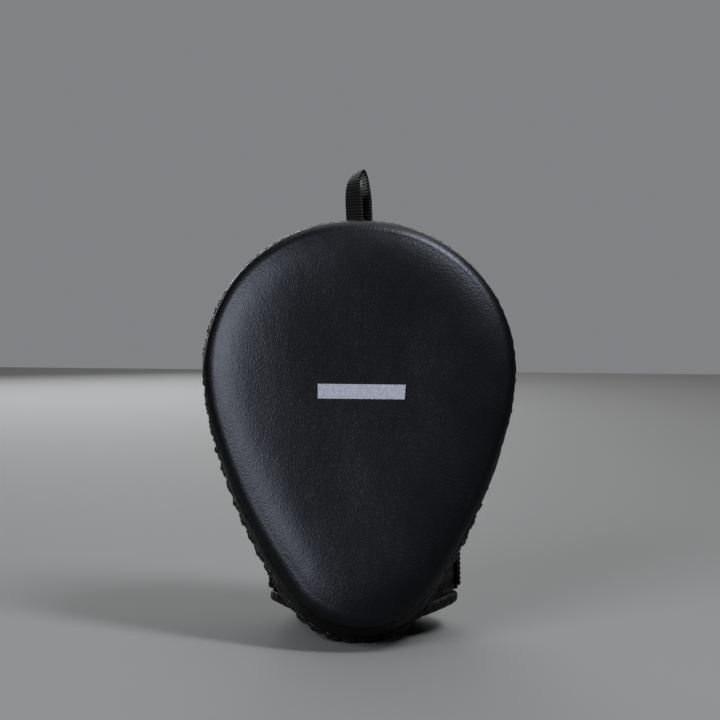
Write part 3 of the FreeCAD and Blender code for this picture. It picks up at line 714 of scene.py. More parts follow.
def side_wall():
    """Side leather between the face seam and the tape, full in the middle and puckered at its seams."""
    start, end = SEAM_DEPTH + 1, PAD_DEPTH - TAPE_WIDE + 3
    run = np.concatenate((SEAM_DEPTH + np.array([1.0, 1.1, 1.5, 2.1, 2.9, 3.8]), np.linspace(12, end, 22)))
    rows = []
    for depth in run:
        share = np.clip((depth - start) / (end - start), 0, 1)
        full = sin(pi * share ** 0.8) ** 0.7
        tuck = -1.9 * exp(-((depth - start) / 0.8) ** 2)
        pucker = 0.3 * (exp(-(depth - start) / 4.5) + exp(-(end - depth) / 4.5)) * waves(21, (GIRTH,), 7.5)
        dent = 0.25 * waves(23, (GIRTH, np.full_like(GIRTH, 1.5 * depth)), 30)
        rows.append(wall(depth, full + tuck + pucker + dent))
    dress("side_wall_leather", [(np.array(rows), length_uv(run, GIRTH))], SIDE_LEATHER,
          "mitt", "side_leather", "side_gusset", padded=0.8, inside=PAD_INSIDE)


def pleat_phase():
    """Where each point round the tape lies between two gathers, 0 to 1."""
    random = np.random.default_rng(31)
    gathers = [0.0]
    while gathers[-1] < GIRTH[-1]:
        high = 0.24 < gathers[-1] / GIRTH[-1] < 0.76
        gathers.append(gathers[-1] + (random.uniform(12, 21) if high else random.uniform(10.5, 13.5)))
    gathers = np.array(gathers)
    index = np.clip(np.searchsorted(gathers, GIRTH, side="right") - 1, 0, len(gathers) - 2)
    return (GIRTH - gathers[index]) / (gathers[index + 1] - gathers[index])


def edge_tape():
    """Leather tape folded over the pad's back edge, gathered into pleats where the outline turns."""
    phase, low = pleat_phase(), smooth(np.abs(SHARE - 0.5), 0.2, 0.3)
    fold = np.sin(pi * phase) ** 0.55 * (1 - 0.35 * phase)
    lap = phase ** 0.6 * (phase < 0.93) + 0.25 * (phase >= 0.93)
    ridge = fold + (lap - fold) * (1 - low)
    crinkle = 0.16 * waves(33, (GIRTH,), 5.0) + 0.1 * waves(34, (GIRTH,), 2.6)
    lift = 1 + (0.6 + 0.4 * low) * ((ridge - 0.72) * 1.2 + crinkle)
    front = -TAPE_WIDE
    # proud of the side, behind the panel, and how much the pleats move it
    section = [(-0.3, front - 0.2, 0), (0.7, front - 0.5, 0.4), (1.35, front + 0.2, 1),
               (1.75, front + 2.2, 1), (1.85, front + 4.6, 1), (1.8, -1.4, 1), (1.35, 0.4, 1),
               (0.1, 1.25, 0.9), (-2.0, 1.5, 0.8),
               (-4.6, 1.35, 0.6), (-6.2, 0.9, 0.3), (-6.8, 0.1, 0), (-6.3, -0.5, 0), (-2.0, -0.6, 0),
               (-0.6, -2.0, 0), (-0.6, front + 1, 0), (-0.3, front - 0.2, 0)]
    rows = []
    for proud, behind, free in section:
        stretch = 1 + free * (lift - 1)
        behind *= stretch if behind > 0 else 1
        rows.append(wall(PAD_DEPTH + behind, proud * (stretch if proud > 0 else 1)))
    run = np.arange(len(rows)) * 1.4
    dress("rear_edge_tape", [(np.array(rows), length_uv(run, GIRTH))], TAPE_LEATHER,
          "mitt", "edge_tape", "rear_edge_binding", closed=True)
    sew(wall(PAD_DEPTH + front + 1.3, 1.5 * lift + 0.1), wall(PAD_DEPTH + 1.55, -5.2))


def back_panel():
    """Flat leather back, a little full between its seams."""
    edge = wall(PAD_DEPTH - 0.05, -1.0)[:, (0, 2)]
    middle = np.array([0.0, 140.0])
    rows = []
    for share in np.linspace(0, 1, 40):
        x, z = (middle + (edge - middle) * share).T
        rows.append(over_back(x, z, 0.15 * waves(41, (x, z), 30) * (1 - share ** 4)))
    points = np.array(rows)
    dress("back_leather", [(points, plan_uv(points))], SIDE_LEATHER,
          "mitt", "side_leather", "back_panel", inside=PAD_INSIDE)


def strike_mark():
    """Printed bar that follows the face, with an end cut a little aslant."""
    u, v = np.meshgrid(np.linspace(-1, 1, 90), np.linspace(-1, 1, 18))
    x = u * MARK_WIDE / 2 + np.where(u > 0, 0.35 * v * u, 0)
    points = face_point(x, MARK_HEIGHT + v * MARK_TALL / 2, 0.12)
    dress("printed_bar", [(points, face_uv(points))], PRINT_GREY,
          "mitt", "print_grey", "strike_mark", inside=PAD_INSIDE)


face_cover()
side_wall()
edge_tape()
back_panel()
strike_mark()

# ---------------------------------------------------------------- hanging loop

STRIP_SECTION = [(-1, -0.4), (-0.97, -1), (-0.8, -1), (-0.3, -1), (0.3, -1), (0.8, -1), (0.97, -1),
                 (1, -0.4), (1, 0.4), (0.97, 1), (0.8, 1), (0.3, 1), (-0.3, 1), (-0.8, 1), (-0.97, 1),
                 (-1, 0.4), (-1, -0.4)]


def strip(path, across, wide, thick, ribs, pitch=1.9, edge=0.0):
    """A grid for build(): a webbing strip along path, with ribs across it, a fuller selvedge and closed ends.
    path and across are arrays of points and of width directions."""
    along = np.gradient(path, axis=0)
    along /= np.linalg.norm(along, axis=1)[:, None]
    across = across / np.linalg.norm(across, axis=1)[:, None]
    out = np.cross(along, across)
    run = run_along(path)
    rib = ribs * (0.5 + 0.5 * np.cos(2 * pi * run / pitch))
    rows = []
    for side, face in STRIP_SECTION:
        height = thick / 2 * face + (rib * np.sign(face) if abs(side) < 0.98 else 0)
        if abs(side) > 0.9:
            height = height + edge * face
        rows.append(path + across * side * wide / 2 + out * np.reshape(height, (-1, 1)))
    girth = [side * wide / 2 for side, face in STRIP_SECTION]
    return capped((np.array(rows), length_uv(girth, run)[..., ::-1]))


def capped(grid):
    """Closes the two ends of a tube's grid by drawing its last rings together."""
    points, uv = grid
    ends = [np.broadcast_to(points[:, at].mean(0), points.shape[::2])[:, None] for at in (0, -1)]
    return (np.concatenate((ends[0], points, ends[1]), axis=1),
            np.concatenate((uv[:, :1], uv, uv[:, -1:]), axis=1))


def spline(knots, count):
    """A smooth line through knots: Catmull-Rom, evenly sampled."""
    knots = np.asarray(knots, float)
    padded = np.vstack([2 * knots[0] - knots[1], knots, 2 * knots[-1] - knots[-2]])
    points = []
    for index in range(len(knots) - 1):
        a, b, c, d = padded[index:index + 4]
        for t in np.linspace(0, 1, 24, endpoint=False):
            points.append(0.5 * (2 * b + (c - a) * t + (2 * a - 5 * b + 4 * c - d) * t ** 2
                                 + (3 * b - a - 3 * c + d) * t ** 3))
    points = np.array(points + [knots[-1]])
    run = run_along(points[:, :3])
    places = np.linspace(0, run[-1], count)
    return np.column_stack([np.interp(places, run, axis) for axis in points.T])


def hanging_loop():
    """Ribbed webbing folded to a peak over a narrow eye, its two feet sewn in behind the crown."""
    # x, y and z from the hinge, and the degrees that the webbing is turned about z
    knots = [(-2.2, -2.6, -3.5, 36), (-2.4, -2.8, 1, 37), (-3.0, -3.3, 12, 37), (-3.4, -3.4, 18, 43),
             (-3.4, -2.9, 24, 54), (-2.0, -1.7, 29.0, 64), (1.2, 0.2, 32.9, 74), (3.6, 2.6, 29.2, 77),
             (4.3, 3.8, 24.5, 73), (4.3, 4.4, 18, 60), (3.9, 3.9, 12, 47), (3.9, 2.6, 1, 41),
             (3.9, 2.4, -3.5, 40)]
    line = spline(knots, 360)
    yaw = -np.radians(line[:, 3])
    tip = np.array(Matrix.Rotation(CROWN_LEAN, 3, "X"))
    path = line[:, :3] @ tip.T + LOOP_HINGE - [0, 0, 0.5]
    across = np.column_stack((np.cos(yaw), np.sin(yaw), np.zeros_like(yaw))) @ tip.T
    loop = build("webbing_loop", [strip(path, across, WEB_WIDE, WEB_THICK - 0.4, 0.24)], WEBBING, closed=True)
    bend(loop, "mitt", "loop", LOOP_HINGE, LOOP_HINGE + tip @ [0, 0, 5.0], "webbing", "hanging_loop")


def loop_tail():
    """The loop's tail on the back panel, box stitched."""
    low = CROWN_HEIGHT - WEB_TAIL
    z = np.linspace(low, CROWN_HEIGHT + 1.0, 120)
    path = over_back(np.full_like(z, WEB_ASIDE), z, 1.6)
    across = np.tile([1.0, 0, 0], (len(z), 1))
    dress("webbing_tail", [strip(path, across, WEB_WIDE, 2.2, 0.18)], WEBBING,
          "mitt", "webbing", "loop_tail", closed=True)
    half, first, last = WEB_WIDE / 2 - 1.4, low + 2, low + 14
    box = [(-half, first), (half, first), (half, last), (-half, last), (-half, first), (half, last),
           (half, first), (-half, last)]
    for start, end in zip(box, box[1:]):
        x, z = np.linspace(start, end, 12).T
        sew(over_back(x + WEB_ASIDE, z, 2.9))


hanging_loop()
loop_tail()

# ---------------------------------------------------------------- finger hood

HOOD_OPEN = radians(100)
HOOD_VALLEYS = (-pi / 4, 0.0, pi / 4)


def hood_surface(offset, round_share, up_share):
    """A point of the hood: round_share -1 to 1 from side to side, up_share 0 at its foot and 1 at its top."""
    lon, lat = round_share * HOOD_OPEN, up_share * pi / 2
    x = (HOOD_WIDE + offset) * np.cos(lat) * np.sin(lon)
    y = HOOD_CENTRE + (HOOD_RISE + offset) * np.cos(lat) * np.cos(lon)
    return outside_pad(x, y, HOOD_FOOT + (HOOD_LENGTH + offset) * np.sin(lat))


def hood_lobes(round_share, up_share):
    """Four padded fingers between three sewn valleys."""
    lon = round_share * HOOD_OPEN
    lobes = np.abs(np.sin(4 * lon)) ** 0.55
    fade = smooth(up_share, 0.0, 0.12) * (1 - smooth(up_share, 0.72, 0.93))
    fade = fade * (1 - smooth(np.abs(lon), 1.45, 1.6))
    wrinkle = 0.25 * waves(51, (60 * lon, 150 * up_share), 16)
    return (lobes - 0.55) * 2.6 * fade + wrinkle * (1 - smooth(up_share, 0.85, 1.0))


def hood_seams(points):
    """1 on the hood's sewn lines: its foot, its edge on the back panel and the three valleys."""
    x, y, z = points.T
    across, deep = x / HOOD_WIDE, (y - HOOD_CENTRE) / HOOD_RISE
    off_valley = np.min([np.abs(np.arctan2(across, deep) - line) for line in HOOD_VALLEYS], axis=0)
    held = 1 - smooth(off_valley * np.hypot(across, deep) * 50, 0.6, 1.8)
    held = np.maximum(held * (z < HOOD_FOOT + 0.86 * HOOD_LENGTH), 1 - smooth(z - HOOD_FOOT, 5.5, 8.5))
    return np.maximum(held, 1 - smooth(y - back(z), 2.0, 5.0))


def hood_rim(count, grow, lift):
    """A line round the hood where it meets the back panel, so far outside it and so far off the panel."""
    lat = np.linspace(0, pi, count)
    return over_back((HOOD_WIDE + grow) * np.cos(lat), HOOD_FOOT + (HOOD_LENGTH + grow) * np.sin(lat), lift)


def hood():
    """Padded leather hood, its lining, bound foot and the piping where it meets the back."""
    u, v = np.meshgrid(np.linspace(-1, 1, 260), np.linspace(EDGE_TAPE * 0.5 / 160, 1, 110))
    outer = hood_surface(hood_lobes(u, v), u, v)
    cover = build("hood_leather", [(outer, np.stack((u * 95, v * 160), -1) * MM)], GLOVE_LEATHER,
                  inside=HOOD_INSIDE)
    fill(cover, hood_seams, 0.06, 2.2)
    settle(cover, "mitt", "glove_leather", "hood_cover", "hood_padding", padded=0.7)
    u, v = np.meshgrid(np.linspace(-1, 1, 120), np.linspace(0.01, 1, 60))
    inner = hood_surface(-HOOD_WALL - LINING, u, v)
    dress("hood_lining_knit", [(inner, np.stack((u * 80, v * 150), -1) * MM)], LINING_KNIT,
          "mitt", "lining", "hood_lining", inside=HOOD_INSIDE, inward=True)
    lon = np.linspace(-1, 1, 220)
    section = [(1.6, 0.5), (2.1, 2.0), (1.9, 5.0), (1.0, 7.2), (0.0, 8.0), (-6.0, 8.4), (-11.0, 8.0),
               (-12.2, 6.0), (-12.4, 2.5), (-11.4, -0.2), (-8.0, -1.5), (-4.0, -1.8), (-0.2, -1.2),
               (1.6, 0.5)]
    rows = [hood_surface(offset, lon, 0.0) + [0, 0, rise] for offset, rise in section]
    rows = np.array([outside_pad(*row.T, sunk=0.3) for row in rows])
    dress("hood_edge_tape", [capped((rows, length_uv(np.arange(len(rows)) * 3.0, lon * 95)))], TAPE_LEATHER,
          "mitt", "edge_tape", "hood_edge_binding", closed=True)
    sew(hood_surface(2.3, lon[8:-8], 0.0) + [0, 0, 5.4])
    up = np.linspace(0.06, 0.84, 120)
    for valley in HOOD_VALLEYS:
        share = np.full_like(up, valley / HOOD_OPEN)
        sew(hood_surface(hood_lobes(share, up) + 0.15, share, up))
    grown("hood_piping", line_mesh("hood_piping", [hood_rim(200, 1.6, 1.0)]), PIPING, "mitt", "edge_tape",
          radius=1.4 * MM)
    sew(hood_rim(200, 4.8, 0.35))


hood()

# ---------------------------------------------------------------- wrist cuff


def cuff_angle(degrees):
    """Ellipse angle of the ray that leaves the cuff's middle so many degrees from the back, towards +X."""
    ray = np.radians(degrees)
    return np.arctan2(np.sin(ray) / CUFF_WIDE, np.cos(ray) / CUFF_DEEP)


def cuff_flat(angle, offset):
    """X and Y of the cuff's ellipse. The strap's pull brings in its side below the little finger."""
    drawn_in = 3.0 * smooth(-np.sin(angle), 0.55, 1.0)
    return (CUFF_ASIDE + (CUFF_WIDE + offset) * np.sin(angle) + drawn_in,
            CUFF_CENTRE + (CUFF_DEEP + offset) * np.cos(angle))


def cuff_point(angle, offset, height):
    return outside_pad(*cuff_flat(angle, offset), height)


def rim_height(angle, extra):
    """Height of the cuff's arched lower rim, or of a line so far above it."""
    y = np.maximum(CUFF_CENTRE + CUFF_DEEP * np.cos(angle), back(15.0))
    return np.sqrt((RIM_ARCH + extra) ** 2 - (y - ARCH_BACK) ** 2) - ARCH_DROP


def pressed(angle, height):
    """How much fullness the strap leaves the cuff, and next to none where its hooks land."""
    under = 1 - smooth(np.abs(height - STRAP_MIDDLE), STRAP_WIDE / 2 - 2, STRAP_WIDE / 2 + 3)
    return 1 - under * (0.45 + 0.52 * smooth(np.sin(angle), 0.15, 0.22))


def flap(name, start, end, low, high, outer, inner, finish, swell=None):
    """A closed padded band round the cuff. start and end are degrees from the back; low and high are heights
    by ellipse angle, outer and inner are offsets. The start end is rounded off."""
    columns = int(abs(end - start) * 1.3)
    angle = cuff_angle(np.linspace(start, end, columns))
    thin = np.sqrt(1 - (1 - np.clip(np.arange(columns) / 4, 0, 1)) ** 2)
    ring = [(0, t) for t in np.linspace(0, 1, 15)] + [(t, 1) for t in (0.15, 0.5, 0.85)]
    ring += [(1, t) for t in np.linspace(1, 0, 8)] + [(t, 0) for t in (0.85, 0.5, 0.15)] + [(0, 0)]
    middle = (outer + inner) / 2
    steps = (np.abs(np.diff(CUFF_WIDE * np.sin(angle))) + np.abs(np.diff(CUFF_DEEP * np.cos(angle))))
    run = np.concatenate(([0.0], np.cumsum(steps)))
    rows = []
    for deep, up in ring:
        edge = 1 - 0.35 * abs(2 * up - 1) ** 6
        offset = middle + (outer * (1 - deep) + inner * deep - middle) * edge * thin
        lift = low(angle) + (high(angle) - low(angle)) * (0.5 + (up - 0.5) * (0.88 + 0.12 * thin))
        if swell is not None and deep < 0.5:
            offset = offset + swell(run, up) * thin * pressed(angle, lift)
        rows.append(cuff_point(angle, offset, lift))
    girth = [up * 40 + deep * 50 for deep, up in ring]
    return build(name, [capped((np.array(rows), length_uv(girth, run)))], finish, closed=True)


def cuff_swell(run, up):
    """Fullness and soft creases of the cuff's leather."""
    full = 1.5 * sin(pi * up) ** 0.7
    crease = -0.7 * np.abs(waves(61, (run * 0.35, np.full_like(run, up * 42)), 15)) ** 1.5
    return full + (crease + 0.35) * sin(pi * up) ** 0.3


def tape_swell(full, crinkle, seed):
    """The same for a binding tape."""
    return lambda run, up: full * sin(pi * up) + crinkle * waves(seed, (run,), 9)


TAPE_FOOT = CUFF_TOP - EDGE_TAPE
FLAP_SPANS = {"left": (10.0, -179.0), "right": (18.0, 179.0)}


def flat_at(height):
    return lambda angle: np.full_like(angle, height)


def above_rim(extra):
    return lambda angle: rim_height(angle, extra)


def cuff_seams(points):
    """1 where the cuff's leather is held: by its tapes, at the slit, on its inner side, under the hooks."""
    x, y, z = points.T
    reach = np.hypot((x - CUFF_ASIDE) / CUFF_WIDE, (y - CUFF_CENTRE) / CUFF_DEEP)
    rim = np.sqrt(np.maximum((RIM_ARCH + EDGE_TAPE) ** 2 - (y - ARCH_BACK) ** 2, 0)) - ARCH_DROP
    bearing = np.degrees(np.arctan2(x - CUFF_ASIDE, y - CUFF_CENTRE))
    hooked = smooth(bearing, 14, 18) * (1 - smooth(bearing, 90, 100))
    under_strap = 1 - smooth(np.abs(z - STRAP_MIDDLE), STRAP_WIDE / 2 - 1, STRAP_WIDE / 2 + 3)
    held = (1 - smooth(z - rim, 0.5, 3.5), smooth(z, TAPE_FOOT - 3.5, TAPE_FOOT - 0.5),
            1 - smooth(reach, 0.93, 0.97), 1 - smooth(np.abs(bearing - 14), 5, 9), hooked * under_strap,
            1 - smooth(y - back(z), 2.0, 5.0))
    return np.max(held, axis=0)


def cuff():
    """Two padded flaps that meet at an open slit behind the wrist."""
    low, high = above_rim(EDGE_TAPE - 2.5), flat_at(TAPE_FOOT + 2)
    tape = (1.6, -CUFF_WALL - 1.6, TAPE_LEATHER)
    for side, (start, end) in FLAP_SPANS.items():
        turn = copysign(1, end - start)
        cover = flap(f"cuff_leather_{side}", start, end * 0.8, low, high, 0.0, -CUFF_WALL - 0.2,
                     GLOVE_LEATHER, cuff_swell)
        fill(cover, cuff_seams, 0.07, 1.8)
        settle(cover, "mitt", "glove_leather", f"cuff_cover_{side}", f"cuff_padding_{side}", padded=0.7)
        lining = flap(f"cuff_lining_knit_{side}", start + turn * 0.5, end, low, high, -CUFF_WALL + 0.4,
                      -CUFF_WALL - LINING - 0.1, LINING_KNIT)
        settle(lining, "mitt", "lining", f"cuff_lining_{side}")
        rim = flap(f"cuff_rim_tape_{side}", start, end, above_rim(-0.4), above_rim(EDGE_TAPE), *tape,
                   tape_swell(0.6, 0.25, 63))
        settle(rim, "mitt", "edge_tape", f"cuff_rim_binding_{side}")
        top = flap(f"cuff_top_tape_{side}", start, end * 0.82, flat_at(TAPE_FOOT), flat_at(CUFF_TOP + 0.6),
                   *tape, tape_swell(0.5, 0.15, 64))
        settle(top, "mitt", "edge_tape", f"cuff_top_binding_{side}")
        angle = cuff_angle(np.linspace(start + turn * 3, end * 0.78, 200))
        sew(cuff_point(angle, 2.0, rim_height(angle, EDGE_TAPE - 1.6)),
            cuff_point(angle, 2.0, TAPE_FOOT + 1.5))


cuff()

# ---------------------------------------------------------------- back of the hand: mesh, thumb stall, palm


def mesh_point(angle, inset, up):
    """The sleeve between the cuff's top and the hood's foot."""
    low = cuff_flat(angle, -inset)
    high = (HOOD_WIDE - inset) * np.sin(angle), HOOD_CENTRE + (HOOD_RISE - inset) * np.cos(angle)
    x, y = (below + (above - below) * up for below, above in zip(low, high))
    return outside_pad(x, y, CUFF_TOP - 1.5 + (HOOD_FOOT + 3 - CUFF_TOP) * up, 0.3)


def hand_mesh():
    """Spacer mesh with staggered rows of rims, each round a disc of painted shade that stands for its hole,
    edged all round by the tapes.
    """
    u, v = np.meshgrid(np.radians(np.linspace(-150, 150, 220)), np.linspace(0, 1, 30))
    sag = 0.9 * np.sin(pi * v) + 0.2 * waves(71, (60 * u, 36 * v), 14)
    outer = mesh_point(u, 4.0 + sag, v)
    inner = mesh_point(u[:, ::-1], 5.6 + sag[:, ::-1], v)
    uv = np.stack((u * 50, v * 36), -1) * MM
    joined = np.concatenate((outer, inner, outer[:, :1]), axis=1)
    places = np.concatenate((uv, uv[:, ::-1], uv[:, :1]), axis=1)
    ends = [(np.stack((outer[row], inner[row, ::-1])), np.stack((uv[row], uv[row]))) for row in (0, -1)]
    dress("hand_mesh", [(joined, places)] + ends, MESH_KNIT, "mitt", "mesh", "hand_mesh_panel", closed=True)
    rows = []
    for index, up in enumerate(np.linspace(0.09, 0.93, 10)):
        u = np.radians(np.linspace(-118, 118, 54) + (2.2 if index % 2 else 0))
        rows.append(mesh_point(u, 3.55 + 0.9 * sin(pi * up), up))
    points = np.concatenate(rows)
    points = points[points[:, 0] > -44]     # none under the thumb stall
    outward = points - [0, CUFF_CENTRE - 8, 0]
    outward[:, 2] = 0
    for name, tree in EYELETS.items():
        carrier = line_mesh(name, [points[index:index + 1] for index in range(len(points))])
        facing = carrier.attributes.new("facing", "FLOAT_VECTOR", "POINT")
        facing.data.foreach_set("vector", (outward @ TURN.T).astype(np.float32).ravel())
        grown(name, carrier, tree, "mitt", "mesh")


hand_mesh()


def thumb_form(offset):
    """Thumb stall: a cone between two balls, as a grid of points."""
    big, small = THUMB_BASE + offset, THUMB_END + offset
    tilt = asin((big - small) / THUMB_REACH)
    profile = [(big * cos(a), big * sin(a)) for a in np.linspace(-0.9, tilt, 14)]
    profile += [(small * cos(a), THUMB_REACH + small * sin(a)) for a in np.linspace(tilt, pi / 2, 26)]
    profile = spline(profile, 60)
    angle = np.linspace(0, 2 * pi, 73)
    radius, along = profile[:, :1], profile[:, 1:]
    swollen = radius * (1 + 0.012 * waves(81, (along, 6 * np.sin(angle)[None, :]), 9))
    radius = np.where(radius < 0.3, 0, swollen)
    local = np.stack((radius * np.cos(angle), radius * np.sin(angle), along + 0 * angle), -1)
    turn = np.array(Matrix.Rotation(-THUMB_SPLAY, 3, "Y"))
    return local @ turn.T + THUMB_ROOT, length_uv(run_along(profile), angle * big)


def thumb():
    """Leather stall with a seam up its outer side, and its lining."""
    stall = thumb_form(0.1)
    dress("thumb_leather", [stall], GLOVE_LEATHER, "mitt", "glove_leather", "thumb_stall",
          padded=0.5, inside=THUMB_ROOT)
    dress("thumb_lining_knit", [thumb_form(-1.9)], LINING_KNIT, "mitt", "lining", "thumb_lining",
          inside=THUMB_ROOT, inward=True)
    outside = thumb_form(0.3)[0][10:-6]
    sew(outside[:, 16], outside[:, 20])
    grown("thumb_seam", line_mesh("thumb_seam", [stall[0][8:-3, 18]]), PIPING, "mitt", "edge_tape",
          radius=0.9 * MM)


thumb()


def palm():
    """Suede palm patch with the grip ball that the hand closes on."""
    u, v = np.meshgrid(np.linspace(0, 2 * pi, 121), np.linspace(0, 1, 24))
    x, z = PALM_WIDE * v * np.cos(u), PALM_HEIGHT + PALM_TALL * v * np.sin(u)
    points = over_back(x, z, 1 - smooth(v, 0.96, 1.0) + 0.12 * waves(91, (x, z), 12))
    dress("palm_suede", [(points, plan_uv(points))], SUEDE, "mitt", "suede", "palm_lining", inside=PAD_INSIDE)
    ring = np.linspace(0, 2 * pi, 200)
    sew(over_back((PALM_WIDE - 2) * np.cos(ring), PALM_HEIGHT + (PALM_TALL - 2) * np.sin(ring), 1.2))
    lat = np.linspace(0, 1, 34)[:, None] * pi / 2
    x = BALL_WIDE * np.sin(lat) * np.cos(ring)
    z = BALL_HEIGHT + BALL_TALL * np.sin(lat) * np.sin(ring)
    seam = 0.5 * np.exp(-((z - BALL_HEIGHT) / 1.3) ** 2)
    points = over_back(x, z, BALL_RISE * np.cos(lat) ** 0.9 - seam)
    dress("grip_ball_suede", [(points, plan_uv(points))], SUEDE, "mitt", "suede", "palm_grip_ball",
          padded=0.9, inside=(0, 2, BALL_HEIGHT))
    sew(over_back((BALL_WIDE + 1.4) * np.cos(ring), BALL_HEIGHT + (BALL_TALL + 1.4) * np.sin(ring), 1.3))


palm()

# ---------------------------------------------------------------- wrist strap


def strap_path(start, end, offset, count):
    """Points along the strap's middle. start and end are degrees from the back, as all along the strap."""
    return cuff_point(cuff_angle(np.linspace(start, end, count)), offset, STRAP_MIDDLE)


def strap_strip(name, start, end, inside, outside, finish, wider=0.0, ribs=0.0, edge=0.0, count=160):
    """A flat strip round the cuff between two offsets, and so much wider than the strap."""
    path = strap_path(start, end, (inside + outside) / 2, count)
    across = np.tile([0.0, 0.0, 1.0], (count, 1))
    grid = strip(path, across, STRAP_WIDE + wider, outside - inside, ribs, 1.5, edge)
    return build(name, [grid], finish, closed=True)


def strap_webbing(name, start, end, inside, count, bodies, joint, *nodes):
    """A length of the strap's own webbing, baked where it stands; bodies and joint are passed on to bend()
    but give it no bend.
    """
    webbing = strap_strip(name, start, end, inside, STRAP_TOP, STRAP_WEAVE, 0, 0.08, 0.1, count)
    bend(webbing, *bodies, *strap_path(*joint, STRAP_TOP, 2), "webbing", *nodes)


def strap_edges(start, end, offset, inset):
    """Two stitch lines near the strap's edges."""
    path = strap_path(start, end, offset, 90)
    half = [0, 0, STRAP_WIDE / 2 - inset]
    return path + half, path - half


def strap_cross(degrees, offset, inset):
    """A stitch line across the strap."""
    half = STRAP_WIDE / 2 - inset
    return strap_path(degrees, degrees, offset, 1) + np.linspace((0, 0, -half), (0, 0, half), 24)


def strap():
    """Webbing strap: sewn end, band, free end with its hook pad, leather pull tab."""
    lined, top = STRAP_LIFT + 0.05, STRAP_TOP
    strap_webbing("strap_sewn_end", -96, -40, STRAP_LIFT - 0.1, 160, ("mitt", "strap"), (-74, -58),
                  "strap_anchor")
    base = strap_strip("strap_sewn_base", -97, -78, -0.2, STRAP_LIFT, GLOVE_LEATHER, 2)
    settle(base, "mitt", "glove_leather")
    strap_webbing("strap_webbing", -40.2, 84.5, STRAP_LIFT, 300, ("strap", "strap_end"), (12, 27),
                  "strap_band", "strap_free_end")
    for strip_sizes, body, slot, *nodes in (
            (("strap_keeper", -46, -34, top + 0.05, top + 0.9, GLOVE_LEATHER, 1), "strap", "glove_leather"),
            (("strap_soft_back", -60, 12, 0.6, lined, LINING_KNIT, -3), "strap", "lining", "strap_lining"),
            (("strap_hooks", 26, 82, lined - 0.65, lined, HOOKS, -6), "strap_end", "hook_tape",
             "strap_hook_pad"),
            (("strap_tab", 79, 95, STRAP_LIFT - 0.4, top + 0.35, GLOVE_LEATHER, -3), "strap_end",
             "glove_leather", "strap_pull_tab"),
            (("cuff_pile", 21, 87, -0.6, 0.9, PILE, -4), "mitt", "loop_pile", "cuff_loop_pad")):
        settle(strap_strip(*strip_sizes), body, slot, *nodes)
    sew(*strap_edges(-95, -78, top + 0.15, 2.2), strap_cross(-94.5, top + 0.15, 2.2),
        strap_cross(-79, top + 0.15, 2.2))
    sew(strap_cross(-45, top + 1.0, 1.5), strap_cross(-35, top + 1.0, 1.5), body="strap")
    sew(*strap_edges(29, 78, top + 0.1, 3.6), strap_cross(80.5, top + 0.45, 3.0),
        strap_cross(93.5, top + 0.45, 3.0), body="strap_end")


strap()

for body, lines in stitch_lines.items():
    grown(f"stitches_{body}", line_mesh(f"stitches_{body}", lines), STITCHES, body, "edge_tape")

# ---------------------------------------------------------------- CAD nodes that stay, inside the pad

for node, finish in {"impact_foam": HARD_FOAM, "core_foam": SOFT_FOAM, "backing_foam": HARD_FOAM}.items():
    frame["nodes"][node].data.materials.clear()
    frame["nodes"][node].data.materials.append(finish)

# ---------------------------------------------------------------- floor, lamps and camera


def floor():
    """A plain sheet that looks mid grey, and throws light back on the object as a darker one."""
    left, right, near, far = -1.8, 1.8, -1.9, 1.5
    seen, lighting = (0.25, 0.25, 0.252), (0.10, 0.10, 0.10)
    mesh = bpy.data.meshes.new("floor")
    mesh.from_pydata([(left, near, 0), (right, near, 0), (right, far, 0), (left, far, 0)], [], [(0, 1, 2, 3)])
    finish = Finish("floor", seen, 0.85)
    finish.tint(finish.out("LightPath", socket="Is Camera Ray"), lighting, seen)
    mesh.materials.append(finish.material)
    show("floor", mesh)


def aimed(thing, place, aim, roll=0.0):
    """Puts a lamp or camera in its place and turns it to its aim."""
    thing.location = place
    turn = (Vector(aim) - Vector(place)).to_track_quat("-Z", "Y").to_matrix() @ Matrix.Rotation(roll, 3, "Z")
    thing.rotation_euler = turn.to_euler()


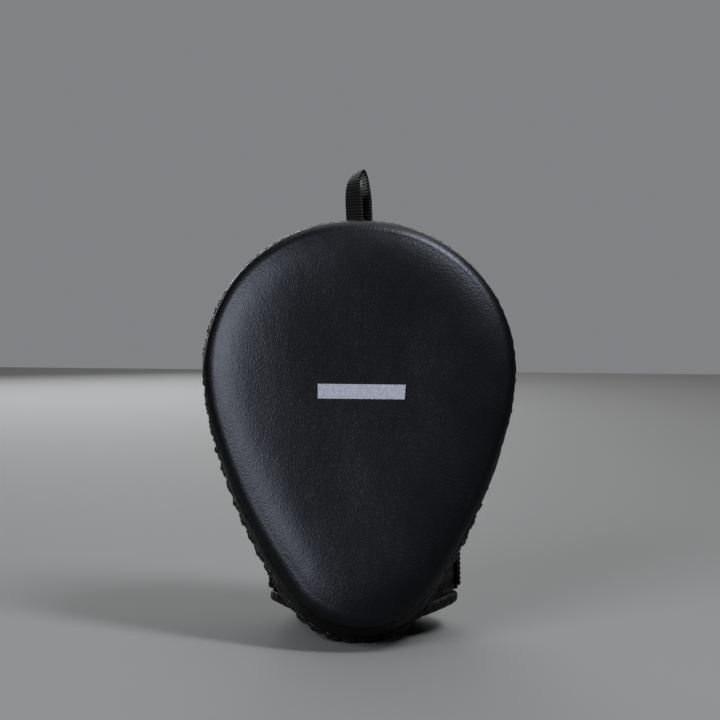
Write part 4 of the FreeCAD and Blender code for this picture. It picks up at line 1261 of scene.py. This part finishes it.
def lamps():
    """Soft boxes, in watts and metres: a key from the left, the others from above and behind."""
    for name, place, aim, size, power, colour in (
            ("key", (-1.02, -1.30, 0.95), (0, 0, 0.13), (0.9, 0.9), 18.5, (0.95, 0.98, 1.0)),
            ("top", (0.15, 0.65, 1.75), (0, 0, 0.05), (1.8, 1.2), 6.5, (1.0, 0.99, 0.97)),
            ("behind", (0.30, 1.6, 0.85), (0, 0, 0.10), (1.3, 0.8), 4, (1.0, 0.98, 0.95)),
            ("edge", (0.57, -0.35, 1.14), (0.05, 0, 0.22), (0.25, 0.5), 9.5, (0.96, 0.98, 1.0)),
            ("back_low", (-0.35, 1.3, 0.45), (0, 0, 0.12), (0.9, 0.7), 6, (0.97, 0.99, 1.0))):
        data = bpy.data.lights.new(name, "AREA")
        data.shape, data.size, data.size_y = "RECTANGLE", *size
        data.energy, data.color = power, colour
        light = show(name, data)
        light.visible_camera = False
        aimed(light, place, aim)


def backdrop():
    """A grey studio that the camera sees brighter than it lights the object."""
    world = bpy.data.worlds.new("studio")
    world.use_nodes = True
    sky, glow = Nodes(world.node_tree, "ShaderNode"), world.node_tree.nodes["Background"].inputs
    glow["Color"].default_value = (0.50, 0.51, 0.53, 1)
    seen = sky.out("LightPath", socket="Is Camera Ray")
    strength = sky.out("MapRange", {"Value": seen, "To Min": 0.05, "To Max": 0.44})
    world.node_tree.links.new(strength, glow["Strength"])
    bpy.context.scene.world = world


def camera():
    """Before the mitt, a little left of its middle and above it, and far off with a long lens."""
    azimuth, rise, far, roll = radians(-3), radians(7), 1.3, radians(0.9)
    eye = show("camera", bpy.data.cameras.new("camera"))
    eye.data.lens, eye.data.sensor_width = 105.6, 36.0
    middle = sum(CAD_BOX, Vector()) / 2
    sight = Vector((sin(azimuth) * cos(rise), -cos(azimuth) * cos(rise), sin(rise)))
    aimed(eye, middle + sight * far, middle + Vector((0, 0, 0.026)), roll)
    bpy.context.scene.camera = eye


floor()
lamps()
backdrop()
camera()
bpy.context.scene.view_settings.view_transform = "Standard"
